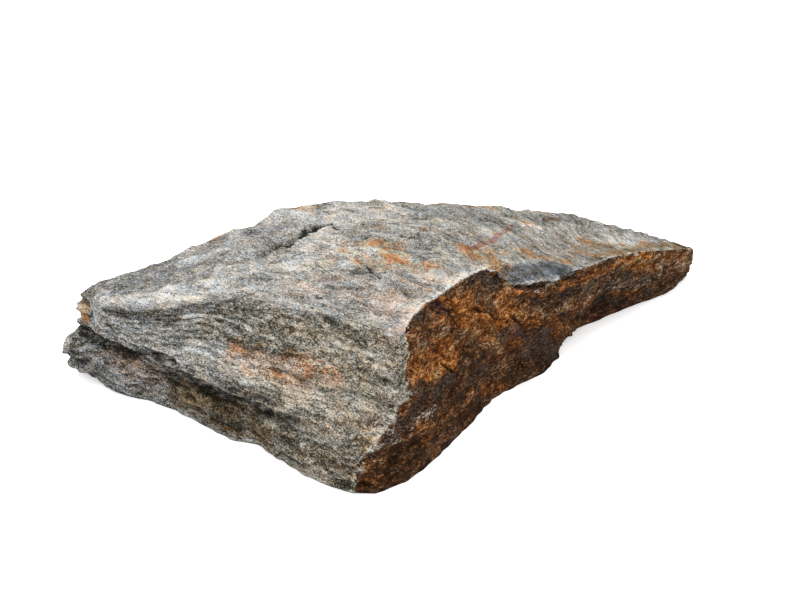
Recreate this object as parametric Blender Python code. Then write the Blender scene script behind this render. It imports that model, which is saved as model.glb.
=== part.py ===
"""Gneiss stepping stone.

One loose slab of banded gneiss that lies on its flat bed.  Seen from above it is a
lopsided kite: a blunt left end, a near corner, a long thin wing to the right and a
straight back.  The walked-on top (the tread) is nearly level over the near corner and
falls gently to the back, to the left end and out along the wing.  The front left side
is a slope that ends in a ledge with an undercut below it.  The near right side is a
hackly broken face with an arris half way up, and it is notched where the wing begins.

The stone is a closed skin over a few survey lines.  Each line runs once round the
stone, straight from point to point, and a profile on every bearing from the plan
centre joins them from the middle of the tread, down the side, to the middle of the bed.
Sizes are in metres and +Z is up.  The origin is under the middle of the stone, on the
surface that it lies on.
"""

import math

import bmesh
import bpy
import numpy as np
from mathutils import Matrix

# ---------------------------------------------------------------- driving dimensions

STONE_LENGTH = 0.683
STONE_DEPTH = 0.450
STONE_HEIGHT = 0.132

MM = 0.001
PLAN_CENTRE = (-40.0, 60.0)

# Survey lines, in millimetres, anticlockwise from the left end: x, y, height.
# Edge of the tread: the crest of the front slope, the rim of the broken face, the back.
CREST = (
    (-325, 19, 88), (-304, -25, 94), (-270, -54, 101), (-236, -65, 108), (-202, -66, 113),
    (-163, -57, 120), (-132, -69, 122), (-96, -92, 124), (-57, -110, 128), (-24, -130, 131),
    (2, -153, 131), (8, -130, 131), (14, -108, 130), (25, -84, 129), (38, -65, 128),
    (61, -28, 125), (88, 8, 121), (102, 10, 116), (114, 8, 103), (133, 14, 101),
    (167, 29, 99), (183, 51, 96), (200, 73, 92), (225, 101, 85), (251, 133, 75),
    (276, 156, 66), (302, 181, 56), (322, 197, 48), (331, 206, 44), (326, 214, 46),
    (302, 213, 52), (267, 212, 63), (198, 213, 83), (107, 199, 98), (18, 184, 110),
    (-61, 184, 115), (-132, 169, 112), (-156, 137, 106), (-197, 113, 101), (-277, 59, 90),
    (-313, 45, 86),
)
# Half way down the front slope, where it flattens.
SHELF = (
    (-327, 17, 76), (-307, -20, 76), (-271, -50, 82), (-232, -68, 85), (-196, -84, 86),
    (-155, -104, 84), (-96, -127, 78), (-57, -148, 77), (-28, -164, 76), (-1, -183, 72),
    (7, -160, 100), (13, -132, 120),
)
# Lip of the front ledge, which runs out at the near corner.
LIP = (
    (-329, 15, 62), (-308, -18, 62), (-277, -44, 62), (-248, -68, 60), (-190, -106, 58),
    (-124, -148, 54), (-95, -168, 52), (-56, -196, 45), (-32, -206, 24), (-10, -196, 54),
    (7, -172, 76), (18, -136, 100),
)
# Back of the undercut below that ledge, then the arris of the broken face.
ARRIS = (
    (-321, 16, 52), (-298, -3, 50), (-243, -45, 48), (-188, -86, 47), (-121, -131, 43),
    (-92, -158, 41), (-60, -190, 33), (-37, -211, 15), (-15, -204, 34), (5, -184, 50),
    (29, -140, 62), (59, -97, 65), (90, -47, 65), (122, -12, 62), (155, 19, 60),
    (190, 53, 55), (226, 94, 50), (264, 135, 42), (303, 176, 35), (332, 208, 28),
    (320, 224, 30), (190, 222, 55), (100, 211, 60), (-60, 200, 60), (-125, 183, 60),
    (-172, 147, 58), (-290, 70, 48), (-322, 42, 47),
)
# Widest line of the lower block.
BED = (
    (-348, 6, 32), (-340, -12, 27), (-318, -15, 32), (-293, -37, 28), (-252, -58, 25),
    (-196, -96, 25), (-155, -125, 25), (-106, -170, 23), (-66, -203, 18), (-37, -217, 8),
    (-13, -210, 15), (6, -193, 28), (29, -156, 33), (59, -109, 35), (91, -55, 35),
    (123, -21, 35), (154, 16, 35), (172, 60, 30), (218, 111, 25), (267, 150, 22),
    (312, 192, 15), (335, 229, 11), (300, 231, 18), (200, 226, 28), (100, 215, 30),
    (-70, 204, 30), (-130, 186, 30), (-180, 147, 30), (-305, 64, 26), (-338, 34, 28),
)
# Where the sides meet the surface that the stone lies on.
FOOT = (
    (-331, 7, 0), (-305, -24, 0), (-279, -44, 0), (-254, -57, 0), (-215, -84, 0),
    (-171, -116, 0), (-133, -143, 0), (-93, -186, 0), (-51, -212, 0), (-36, -217, 0),
    (-13, -212, 0), (6, -195, 0), (25, -172, 0), (67, -106, 0), (89, -66, 0),
    (109, -34, 0), (153, 11, 0), (166, 35, 0), (173, 65, 0), (185, 93, 0),
    (204, 109, 0), (254, 147, 0), (303, 182, 0), (327, 217, 0), (290, 221, 0),
    (190, 216, 0), (90, 204, 0), (-75, 193, 0), (-122, 176, 0), (-180, 137, 0),
    (-300, 56, 0), (-328, 28, 0),
)

# The shelf and the lip go on round the broken face and the back, between these two
# bearings in degrees, as shares of the way from the crest out and down to the arris.
CARRIED_FROM = -69.0
CARRIED_TO = 186.0
SHELF_SHARE = 0.28
SHELF_DROP_SHARE = 0.20
LIP_SHARE = 0.58
LIP_DROP_SHARE = 0.60

# The tread: flat cleavage faces as a point in millimetres, the fall in degrees and the
# bearing that the fall faces.  The lowest face rules.
TREAD_FACES = {
    "middle": ((2, -153, 131), 3.1, 131.0),
    "back": ((-130, 80, 117), 6.5, 127.0),
    "left": ((-163, -50, 121), 11.5, 161.0),
    "wing": ((88, 9, 121), 14.5, 22.0),
}
FACE_BLEND = 3.0
EDGE_FADE = 5

# The banding: its layers strike along the first bearing and dip to the front left.
BANDING_STRIKE = -41.0
BANDING_DIP = 10.0

# Relief, in millimetres: how far across, how far it stands out, and its own seed.
LUMPS = ((118.0, 3.4, 11), (54.0, 2.4, 23), (27.0, 1.4, 37))
LUMP_FLATNESS = 0.55
CHIPS = ((48.0, 4.2, 41), (27.0, 2.2, 53))
CHIP_REST = 0.6
LEDGES = (75.0, 3.0, 67)
LEDGE_THICKNESS = 17.0
STEP_THICKNESS = 13.0
STEP_WANDER = (64.0, 0.9, 71)
STEP_SHARE = 0.35
STEP_SHARPNESS = 3.5
WING_FROM = 40.0
WING_TO = 200.0
WING_CALM = 0.35
WING_STEP_CALM = 0.85

# How the relief changes from the tread down to the foot: survey levels, then the share
# of it that stands up instead of out, that is broken rock, and that is kept.
UPRIGHT = ((0.0, 0.8, 1.6, 3.0, 6.0), (1.0, 1.0, 0.6, 0.2, 0.0))
BROKEN = ((0.9, 1.5, 5.5, 6.0), (0.0, 1.0, 1.0, 0.5))
KEPT = ((0.7, 1.0, 1.5, 5.2, 6.0), (1.0, 0.6, 1.0, 1.0, 0.4))

# Open cracks in the tread, in millimetres: both ends, the width and the depth.
CRACKS = (
    ((-132, 64), (-104, 87), 10.0, 6.0),
    ((-110, 80), (-80, 116), 14.0, 8.0),
    ((-82, 121), (-63, 105), 8.0, 5.0),
    ((-36, 7), (-17, -25), 7.0, 4.0),
)
CRACK_SIDES = 8
CRACK_CLEARANCE = 14.0
CONE_TIP_MERGE = 0.0001

# Mesh: the tread is a sheet of squares whose four corners are drawn to the stone's own
# corners, at these bearings; rings run down the sides from each survey line to the next.
CORNER_BEARINGS = (188.0, 283.0, 382.0, 490.0)
STEPS_LENGTHWAYS = 44
STEPS_CROSSWAYS = 36
SIDE_RINGS = (4, 4, 2, 4, 3)
EDGE_SAMPLES = 721
BED_SHARE = 0.93
BED_RISE = 3.0
BED_WANDER = 40.0
BED_SEED = 5

STONE_COLOUR = (0.36, 0.355, 0.34, 1.0)
STONE_ROUGHNESS = 0.85


# ---------------------------------------------------------------- survey lines

def relative(points):
    """Give the points of a survey line as an array measured from the plan centre."""
    table = np.array(points, dtype=float)
    table[:, :2] -= PLAN_CENTRE
    return table


def reach_and_height(line, bearing):
    """Find how far out and how high a line is on each bearing.

    The line runs straight from point to point: the ray from the plan centre is cut by
    the chord between the two points on either side of it.
    """
    angle = np.arctan2(line[:, 1], line[:, 0])
    order = np.argsort(angle)
    ring = line[order]
    angle = angle[order]
    ring = np.vstack((ring[-1:], ring, ring[:1]))
    angle = np.concatenate((angle[-1:] - math.tau, angle, angle[:1] + math.tau))
    turned = np.mod(bearing + math.pi, math.tau) - math.pi
    after = np.clip(np.searchsorted(angle, turned), 1, len(angle) - 1)
    first = ring[after - 1]
    second = ring[after]
    east = np.cos(turned)
    north = np.sin(turned)
    along = second - first
    across_ray = along[:, 1] * east - along[:, 0] * north
    share = (first[:, 0] * north - first[:, 1] * east) / across_ray
    point = first + share[:, None] * along
    return point[:, 0] * east + point[:, 1] * north, point[:, 2]


def carried_round(front, crest, arris, reach_share, drop_share):
    """Close a line of the front slope by carrying it round the other sides.

    It gets a point on every bearing where the crest or the arris has one.
    """
    corners = np.vstack((crest, arris))
    bearing = np.unique(np.arctan2(corners[:, 1], corners[:, 0]))
    bearing = np.where(bearing < -math.pi / 2, bearing + math.tau, bearing)
    inside = (bearing > math.radians(CARRIED_FROM)) & (bearing < math.radians(CARRIED_TO))
    bearing = np.sort(bearing[inside])
    crest_reach, crest_height = reach_and_height(crest, bearing)
    arris_reach, arris_height = reach_and_height(arris, bearing)
    reach = crest_reach + reach_share * (arris_reach - crest_reach)
    height = crest_height + drop_share * (arris_height - crest_height)
    rest = np.column_stack((reach * np.cos(bearing), reach * np.sin(bearing), height))
    return np.vstack((relative(front), rest))


def survey_lines():
    """List the six closed lines from the tread's edge down to the foot."""
    crest = relative(CREST)
    arris = relative(ARRIS)
    shelf = carried_round(SHELF, crest, arris, SHELF_SHARE, SHELF_DROP_SHARE)
    lip = carried_round(LIP, crest, arris, LIP_SHARE, LIP_DROP_SHARE)
    return (crest, shelf, lip, arris, relative(BED), relative(FOOT))


# ---------------------------------------------------------------- the stone's skin

def tread_height(east, north):
    """Height of the tread's cleavage faces, with a soft edge where two of them meet."""
    total = np.zeros_like(east)
    for (x, y, height), fall, facing in TREAD_FACES.values():
        slope = math.tan(math.radians(fall))
        heading = math.radians(facing)
        ahead = (east - x) * math.cos(heading) + (north - y) * math.sin(heading)
        total += np.exp(-(height - slope * ahead) / FACE_BLEND)
    return -FACE_BLEND * np.log(total)


def skin(bearing, level, lines):
    """Place points of the bare stone, without relief, in millimetres.

    A level of 0 is the middle of the tread, 1 to 6 are the survey lines in turn and 7 is
    the middle of the bed; between two lines the profile is straight.
    """
    cut = [reach_and_height(line, bearing) for line in lines]
    nothing = np.zeros_like(bearing)
    reach = np.stack([nothing] + [line_reach for line_reach, _ in cut] + [nothing])
    height = np.stack([nothing] + [line_height for _, line_height in cut] + [nothing])
    step = np.clip(np.floor(level).astype(int), 0, len(lines))
    share = level - step
    point = np.arange(len(bearing))
    out = reach[step, point] * (1.0 - share) + reach[step + 1, point] * share
    high = height[step, point] * (1.0 - share) + height[step + 1, point] * share
    east = PLAN_CENTRE[0] + out * np.cos(bearing)
    north = PLAN_CENTRE[1] + out * np.sin(bearing)

    edge_east = PLAN_CENTRE[0] + reach[1] * np.cos(bearing)
    edge_north = PLAN_CENTRE[1] + reach[1] * np.sin(bearing)
    misfit = height[1] - tread_height(edge_east, edge_north)
    on_tread = tread_height(east, north) + misfit * np.clip(level, 0.0, 1.0) ** EDGE_FADE
    high = np.where(level < 1.0, on_tread, high)
    return np.column_stack((east, north, high))


def scrambled(x, y, z, seed):
    """Turn whole numbers into a repeatable value from -1 to 1."""
    mixed = (x * 374761393 + y * 668265263 + z * 1274126177 + seed * 974711) & 0x7FFFFFFF
    mixed = ((mixed ^ (mixed >> 13)) * 1103515245) & 0x7FFFFFFF
    mixed = mixed ^ (mixed >> 16)
    return mixed / 0x3FFFFFFF - 1.0


def lumpiness(points, seed):
    """Smooth lattice noise from -1 to 1, one lump to a unit."""
    whole = np.floor(points).astype(np.int64)
    part = points - whole
    ease = part * part * part * (part * (part * 6.0 - 15.0) + 10.0)
    total = np.zeros(len(points))
    for corner in range(8):
        offset = np.array((corner & 1, corner >> 1 & 1, corner >> 2 & 1))
        weight = np.prod(np.where(offset == 1, ease, 1.0 - ease), axis=1)
        x, y, z = (whole + offset).T
        total += weight * scrambled(x, y, z, seed)
    return total


def banding_frame():
    """Give the banding's own axes as rows: along the strike, up the dip, through it."""
    strike = math.radians(BANDING_STRIKE)
    dip = math.radians(BANDING_DIP)
    along = np.array((math.cos(strike), math.sin(strike), 0.0))
    fall = np.array((math.sin(strike), -math.cos(strike), 0.0))
    through = math.sin(dip) * fall + math.cos(dip) * np.array((0.0, 0.0, 1.0))
    return np.array((along, np.cross(through, along), through))


def stepped(layer, sharpness):
    """Turn an even climb into stairs: level on a layer, quick from one to the next."""
    whole = np.floor(layer)
    return whole + np.clip((layer - whole - 0.5) * sharpness + 0.5, 0.0, 1.0)


def relief(points, on_side):
    """How far the surface stands out of the bare stone, in millimetres.

    Soft lumps are everywhere.  The tread climbs over the layers of the banding in low
    steps.  The sides have chips, which meet in sharp hollows, and ledges, where each
    layer stands out by its own amount.
    """
    banded = points @ banding_frame().T
    soft = np.zeros(len(points))
    for across, depth, seed in LUMPS:
        scale = np.array((across, across, across * LUMP_FLATNESS))
        soft += depth * lumpiness(banded / scale, seed)
    across, depth, seed = STEP_WANDER
    layer = banded[:, 2] / STEP_THICKNESS + depth * lumpiness(banded / across, seed)
    steps = STEP_THICKNESS * STEP_SHARE * (stepped(layer, STEP_SHARPNESS) - layer)
    broken = np.zeros(len(points))
    for across, depth, seed in CHIPS:
        broken += depth * (2.0 * np.abs(lumpiness(banded / across, seed)) - CHIP_REST)
    across, depth, seed = LEDGES
    layer = stepped(banded[:, 2] / LEDGE_THICKNESS, STEP_SHARPNESS)
    ledge_point = np.column_stack((banded[:, :2] / across, layer))
    broken += depth * lumpiness(ledge_point, seed)
    wing = np.clip((points[:, 0] - WING_FROM) / (WING_TO - WING_FROM), 0.0, 1.0)
    steps *= (1.0 - WING_STEP_CALM * wing) * (1.0 - on_side)
    return (soft + broken * on_side) * (1.0 - WING_CALM * wing) + steps


def stone_points(bearing, level):
    """Place points of the finished stone in millimetres, before it is fitted to size.

    The tread's relief stands up and the sides' relief stands out.  The bed is flat but
    for its edge, which is a little off the ground in places.
    """
    bare = skin(bearing, level, survey_lines())
    upright = np.interp(level, *UPRIGHT)
    raised = relief(bare, np.interp(level, *BROKEN)) * np.interp(level, *KEPT)
    bare[:, 0] += raised * (1.0 - upright) * np.cos(bearing)
    bare[:, 1] += raised * (1.0 - upright) * np.sin(bearing)
    bare[:, 2] += raised * upright
    edge_rise = BED_RISE * np.clip(lumpiness(bare / BED_WANDER, BED_SEED), 0.0, 1.0)
    foot_level = len(SIDE_RINGS) + 1
    bare[:, 2] = np.where(level == foot_level, edge_rise, bare[:, 2])
    bare[:, 2] = np.where(level > foot_level, 0.0, bare[:, 2])
    return bare


def side_bearings(first, last, count):
    """Space bearings from one corner to the next, with even steps along the edge."""
    lines = survey_lines()
    fine = np.radians(np.linspace(first, last, EDGE_SAMPLES))
    reach = 0.5 * (reach_and_height(lines[0], fine)[0] + reach_and_height(lines[-1], fine)[0])
    steps = np.hypot(np.diff(reach * np.cos(fine)), np.diff(reach * np.sin(fine)))
    gone = np.concatenate(((0.0,), np.cumsum(steps)))
    return np.interp(np.linspace(0.0, gone[-1], count + 1), gone, fine)


def bearing_and_ring(across, up):
    """Turn a place on a square sheet, from -1 to 1 each way, into bearing and ring.

    Each ring of the sheet is a square round its middle.  It is followed anticlockwise
    from its lower left corner, side by side, as the stone's edge is from its left end.
    """
    ring = np.maximum(np.abs(across), np.abs(up))
    safe = np.where(ring > 0.0, ring, 1.0)
    right = (across / safe + 1.0) / 2.0
    back = (up / safe + 1.0) / 2.0
    gone = np.select((up <= -ring, across >= ring, up >= ring),
                     (right, 1.0 + back, 3.0 - right), 4.0 - back)
    counts = (STEPS_LENGTHWAYS, STEPS_CROSSWAYS, STEPS_LENGTHWAYS, STEPS_CROSSWAYS)
    corners = CORNER_BEARINGS + (CORNER_BEARINGS[0] + 360.0,)
    place = np.concatenate([side + np.linspace(0, 1, counts[side] + 1) for side in range(4)])
    bearing = np.concatenate([side_bearings(corners[side], corners[side + 1], counts[side])
                              for side in range(4)])
    return np.interp(gone, place, bearing), ring


# ---------------------------------------------------------------- build

def clear_scene():
    """Remove every object that the scene starts with."""
    for thing in list(bpy.data.objects):
        bpy.data.objects.remove(thing, do_unlink=True)


def stone_material():
    """Make the plain grey finish of the weathered gneiss."""
    material = bpy.data.materials.new("gneiss")
    material.use_nodes = True
    shader = material.node_tree.nodes["Principled BSDF"]
    shader.inputs["Base Color"].default_value = STONE_COLOUR
    shader.inputs["Roughness"].default_value = STONE_ROUGHNESS
    shader.inputs["Metallic"].default_value = 0.0
    return material


def sheet_with_sides():
    """Make the flat sheet for the tread, with its edge drawn out ring by ring.

    Each ring keeps its level as its height; the last two are closed by one flat face.
    """
    sheet = bmesh.new()
    bmesh.ops.create_grid(sheet, x_segments=STEPS_LENGTHWAYS, y_segments=STEPS_CROSSWAYS,
                          size=1.0)
    edge = [side for side in sheet.edges if side.is_boundary]
    for line, rings in enumerate(SIDE_RINGS + (1,), start=1):
        for ring in range(1, rings + 1):
            drawn = bmesh.ops.extrude_edge_only(sheet, edges=edge)["geom"]
            edge = [item for item in drawn if isinstance(item, bmesh.types.BMEdge)]
            for vertex in {end for side in edge for end in side.verts}:
                vertex.co.z = line + ring / rings
    bmesh.ops.edgeloop_fill(sheet, edges=edge)
    return sheet


def stone_mesh():
    """Draw the sheet over the stone's skin.

    Gives the mesh, and a function that places any point of the survey in the stone.
    """
    sheet = sheet_with_sides()
    flat = np.array([vertex.co[:] for vertex in sheet.verts])
    bearing, ring = bearing_and_ring(flat[:, 0], flat[:, 1])
    level = np.where(flat[:, 2] > 0.0, flat[:, 2], ring)
    level = np.where(level > len(SIDE_RINGS) + 1, len(SIDE_RINGS) + 2 - BED_SHARE, level)
    points = stone_points(bearing, level)
    low = points.min(axis=0)
    size = np.array((STONE_LENGTH, STONE_DEPTH, STONE_HEIGHT))
    scale = size / (points.max(axis=0) - low)
    foot = np.array((-STONE_LENGTH / 2, -STONE_DEPTH / 2, 0.0))

    def placed(point):
        """Stretch survey points to the driving dimensions, standing on the origin."""
        return foot + (point - low) * scale

    for vertex, point in zip(sheet.verts, placed(points)):
        vertex.co = point
    bmesh.ops.triangulate(sheet, faces=sheet.faces[:], quad_method="SHORT_EDGE")
    bmesh.ops.recalc_face_normals(sheet, faces=sheet.faces[:])
    mesh = bpy.data.meshes.new("stepping_stone")
    sheet.to_mesh(mesh)
    sheet.free()
    return mesh, placed


def crack_cutter(start, end, width, depth, placed):
    """Make the wedge that opens a crack: a flattened cone that points down."""
    start = np.array(start, dtype=float)
    end = np.array(end, dtype=float)
    middle = (start + end) / 2.0
    surface = tread_height(middle[:1], middle[1:])[0]
    tall = depth + CRACK_CLEARANCE
    spread = tall / depth
    size = (np.linalg.norm(end - start) / 2.0 * spread, width / 2.0 * spread, tall)
    turn = math.atan2(end[1] - start[1], end[0] - start[0])
    cone = bmesh.new()
    bmesh.ops.create_cone(cone, cap_ends=True, segments=CRACK_SIDES, radius1=0.0, radius2=1.0,
                          depth=1.0)
    bmesh.ops.remove_doubles(cone, verts=cone.verts[:], dist=CONE_TIP_MERGE)
    bmesh.ops.scale(cone, vec=[side * MM for side in size], verts=cone.verts[:])
    bmesh.ops.rotate(cone, cent=(0, 0, 0), matrix=Matrix.Rotation(turn, 3, "Z"),
                     verts=cone.verts[:])
    centre = placed(np.array((middle[0], middle[1], surface - depth + tall / 2.0)))
    bmesh.ops.translate(cone, vec=centre, verts=cone.verts[:])
    mesh = bpy.data.meshes.new("crack_cutter")
    cone.to_mesh(mesh)
    cone.free()
    cutter = bpy.data.objects.new("crack_cutter", mesh)
    cutter.hide_render = True
    cutter.display_type = "WIRE"
    return cutter


def build():
    """Build the stone in a collection of its own and open its cracks."""
    clear_scene()
    collection = bpy.data.collections.new("gneiss stepping stone")
    cutters = bpy.data.collections.new("crack cutters")
    bpy.context.scene.collection.children.link(collection)
    bpy.context.scene.collection.children.link(cutters)
    mesh, placed = stone_mesh()
    mesh.materials.append(stone_material())
    stone = bpy.data.objects.new("stepping_stone", mesh)
    collection.objects.link(stone)
    for start, end, width, depth in CRACKS:
        cutter = crack_cutter(start, end, width, depth, placed)
        cutters.objects.link(cutter)
        opening = stone.modifiers.new("crack", "BOOLEAN")
        opening.operation = "DIFFERENCE"
        opening.object = cutter


build()
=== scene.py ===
"""Dress the gneiss stepping stone.

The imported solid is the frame.  The stone is drawn again over the same survey lines as the
solid, on a much finer grid, with the laminae, grains, broken facets, cracks and splinters
that the solid leaves out.  Its finish is worked out from where each point lies in the
banding of the rock.  A pale floor, soft light from overhead and a camera complete the
studio.  The survey is in millimetres and everything that is placed is in metres, +Z up.
"""

from __future__ import annotations

import logging
import math
from dataclasses import dataclass, field
from enum import Enum
from itertools import product

import bpy
import numpy as np
from mathutils import Matrix, Vector
from mathutils.bvhtree import BVHTree


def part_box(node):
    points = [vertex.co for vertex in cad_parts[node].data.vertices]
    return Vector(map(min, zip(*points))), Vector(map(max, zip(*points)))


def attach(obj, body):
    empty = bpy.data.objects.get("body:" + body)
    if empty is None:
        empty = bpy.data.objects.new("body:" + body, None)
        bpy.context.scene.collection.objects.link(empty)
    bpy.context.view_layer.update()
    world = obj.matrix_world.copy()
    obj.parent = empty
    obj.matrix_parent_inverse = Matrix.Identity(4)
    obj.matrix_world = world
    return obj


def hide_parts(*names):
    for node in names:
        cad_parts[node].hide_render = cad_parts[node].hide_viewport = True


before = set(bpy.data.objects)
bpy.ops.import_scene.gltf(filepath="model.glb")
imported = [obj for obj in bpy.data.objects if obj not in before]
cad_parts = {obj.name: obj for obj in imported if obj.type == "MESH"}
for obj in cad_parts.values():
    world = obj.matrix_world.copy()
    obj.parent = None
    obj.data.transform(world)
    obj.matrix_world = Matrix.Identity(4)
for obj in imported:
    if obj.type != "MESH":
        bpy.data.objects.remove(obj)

Array = np.ndarray
Pair = tuple[float, float]
Colour = Size = tuple[float, float, float]
# A noise: its height, the size of a lump, all ways or along each axis, and its own number.
Noise = tuple[float, float | Size, int]
Pixel = tuple[int, int]

LOG = logging.getLogger("stepping_stone")
MM = 0.001
NODE = "stepping_stone"

# ---------------------------------------------------------------- the survey of the stone

PLAN_CENTRE = (-40.0, 60.0)

# Edge of the tread: the crest of the front slope, the rim of the broken face, the back.
CREST = (
    (-325, 19, 88), (-304, -25, 94), (-270, -54, 101), (-236, -65, 108), (-202, -66, 113),
    (-163, -57, 120), (-132, -69, 122), (-96, -92, 124), (-57, -110, 128), (-24, -130, 131),
    (2, -153, 131), (8, -130, 131), (14, -108, 130), (25, -84, 129), (38, -65, 128),
    (61, -28, 125), (88, 8, 121), (102, 10, 116), (114, 8, 103), (133, 14, 101),
    (167, 29, 99), (183, 51, 96), (200, 73, 92), (225, 101, 85), (251, 133, 75),
    (276, 156, 66), (302, 181, 56), (322, 197, 48), (331, 206, 44), (326, 214, 46),
    (302, 213, 52), (267, 212, 63), (198, 213, 83), (107, 199, 98), (18, 184, 110),
    (-61, 184, 115), (-132, 169, 112), (-156, 137, 106), (-197, 113, 101), (-277, 59, 90),
    (-313, 45, 86),
)
# Half way down the front slope, where it flattens.
SHELF = (
    (-327, 17, 76), (-307, -20, 76), (-271, -50, 82), (-232, -68, 85), (-196, -84, 86),
    (-155, -104, 84), (-96, -127, 78), (-57, -148, 77), (-28, -164, 76), (-1, -183, 72),
    (7, -160, 100), (13, -132, 120),
)
# Lip of the front ledge, which runs out at the near corner.
LIP = (
    (-329, 15, 62), (-308, -18, 62), (-277, -44, 62), (-248, -68, 60), (-190, -106, 58),
    (-124, -148, 54), (-95, -168, 52), (-56, -196, 45), (-32, -206, 24), (-10, -196, 54),
    (7, -172, 76), (18, -136, 100),
)
# Back of the undercut below that ledge, then the arris of the broken face.
ARRIS = (
    (-321, 16, 52), (-298, -3, 50), (-243, -45, 48), (-188, -86, 47), (-121, -131, 43),
    (-92, -158, 41), (-60, -190, 33), (-37, -211, 15), (-15, -204, 34), (5, -184, 50),
    (29, -140, 62), (59, -97, 65), (90, -47, 65), (122, -12, 62), (155, 19, 60),
    (190, 53, 55), (226, 94, 50), (264, 135, 42), (303, 176, 35), (332, 208, 28),
    (320, 224, 30), (190, 222, 55), (100, 211, 60), (-60, 200, 60), (-125, 183, 60),
    (-172, 147, 58), (-290, 70, 48), (-322, 42, 47),
)
# Widest line of the lower block.
BED = (
    (-348, 6, 32), (-340, -12, 27), (-318, -15, 32), (-293, -37, 28), (-252, -58, 25),
    (-196, -96, 25), (-155, -125, 25), (-106, -170, 23), (-66, -203, 18), (-37, -217, 8),
    (-13, -210, 15), (6, -193, 28), (29, -156, 33), (59, -109, 35), (91, -55, 35),
    (123, -21, 35), (154, 16, 35), (172, 60, 30), (218, 111, 25), (267, 150, 22),
    (312, 192, 15), (335, 229, 11), (300, 231, 18), (200, 226, 28), (100, 215, 30),
    (-70, 204, 30), (-130, 186, 30), (-180, 147, 30), (-305, 64, 26), (-338, 34, 28),
)
# Where the sides meet the surface that the stone lies on.
FOOT = (
    (-331, 7, 0), (-305, -24, 0), (-279, -44, 0), (-254, -57, 0), (-215, -84, 0),
    (-171, -116, 0), (-133, -143, 0), (-93, -186, 0), (-51, -212, 0), (-36, -217, 0),
    (-13, -212, 0), (6, -195, 0), (25, -172, 0), (67, -106, 0), (89, -66, 0),
    (109, -34, 0), (153, 11, 0), (166, 35, 0), (173, 65, 0), (185, 93, 0),
    (204, 109, 0), (254, 147, 0), (303, 182, 0), (327, 217, 0), (290, 221, 0),
    (190, 216, 0), (90, 204, 0), (-75, 193, 0), (-122, 176, 0), (-180, 137, 0),
    (-300, 56, 0), (-328, 28, 0),
)


# ---------------------------------------------------------------- noise in the rock

PRIMES = np.array((374761393, 668265263, 1274126177))
TINY = 1e-9


def scrambled(cell: Array, seed: int) -> Array:
    """Turn whole numbers into repeatable values from -1 to 1.

    Args:
        cell: three whole numbers to a point, one row each.
        seed: the pattern's own number.

    Returns:
        One value to a point: the numbers times large primes, mixed bit by bit and scaled.
    """
    mixed = (cell @ PRIMES + seed * 974711) & 0x7FFFFFFF
    mixed = ((mixed ^ (mixed >> 13)) * 1103515245) & 0x7FFFFFFF
    return (mixed ^ (mixed >> 16)) / 0x3FFFFFFF - 1.0


def lumpiness(points: Array, seed: int) -> Array:
    """Smooth lattice noise from -1 to 1, one lump to a unit.

    Args:
        points: places to read it at, one row each.
        seed: the pattern's own number.

    Returns:
        The eight corner values of each point's lattice cube, blended by the fifth degree
        ease 6t^5 - 15t^4 + 10t^3 along each axis.
    """
    whole = np.floor(points).astype(np.int64)
    part = points - whole
    ease = part * part * part * (part * (part * 6.0 - 15.0) + 10.0)
    total = np.zeros(len(points))
    for corner in product((0, 1), repeat=3):
        offset = np.array(corner[::-1])
        weight = np.prod(np.where(offset, ease, 1.0 - ease), axis=1)
        total += weight * scrambled(whole + offset, seed)
    return total


def summed_noise(points: Array, *parts: Noise) -> Array:
    """Add up noises, each given by its height, the size of a lump and its own number."""
    return sum(height * lumpiness(points / np.array(size), seed) for height, size, seed in parts)


def leaf_noise(banded: Array, layer: Array, noise: Noise) -> Array:
    """Noise that changes along the layers by its size, and from one layer to the next."""
    height, size, seed = noise
    return height * lumpiness(np.column_stack((banded[:, :2] / size, layer)), seed)


def stepped(layer: Array, sharpness: float) -> Array:
    """Turn an even climb into stairs.

    Args:
        layer: how many layers up each point lies.
        sharpness: how quick the rise from one stair to the next is.

    Returns:
        The whole layer, plus a ramp as steep as the sharpness half way to the next.
    """
    whole = np.floor(layer)
    return whole + np.clip((layer - whole - 0.5) * sharpness + 0.5, 0.0, 1.0)


def facets(points: Array, seed: int, tilt: float) -> Array:
    """Height of a surface that is broken into flat facets, one to a unit or so.

    Args:
        points: places to read it at, one row each.
        seed: the pattern's own number.
        tilt: how far the facets lean.

    Returns:
        The lowest of the planes of the 27 cells round each point.  A cell's plane passes
        its own random centre and leans its own random way, and rises with the square of
        the distance from the centre, so that a far plane never rules.
    """
    whole = np.floor(points).astype(np.int64)
    lowest = np.full(len(points), np.inf)
    for offset in product((-1, 0, 1), repeat=3):
        cell = whole + np.array(offset)
        jitter, lean = (np.stack([scrambled(cell, start + 7 * axis) for axis in range(3)], axis=1)
                        for start in (seed, seed + 101))
        away = points - (cell + 0.5 + 0.35 * jitter)
        plane = tilt * np.sum(away * lean, axis=1) + 0.9 * np.sum(away * away, axis=1)
        lowest = np.minimum(lowest, plane)
    return lowest


def smooth(value: Array, low: float, high: float) -> Array:
    """Ease from 0 to 1 between two limits, by 3t^2 - 2t^3."""
    share = np.clip((value - low) / (high - low), 0.0, 1.0)
    return share * share * (3.0 - 2.0 * share)


def swing(bearing: Array, low: float, high: float) -> Array:
    """Ease from 0 to 1 between two bearings in degrees."""
    return smooth(bearing, math.radians(low), math.radians(high))


def half_turned(bearing: Array) -> Array:
    """Bring bearings to between minus half a turn and half a turn."""
    return np.mod(bearing + math.pi, math.tau) - math.pi


def outward(bearing: Array) -> Array:
    """Give the level unit vector along each bearing, one row each."""
    return np.column_stack((np.cos(bearing), np.sin(bearing)))


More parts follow.
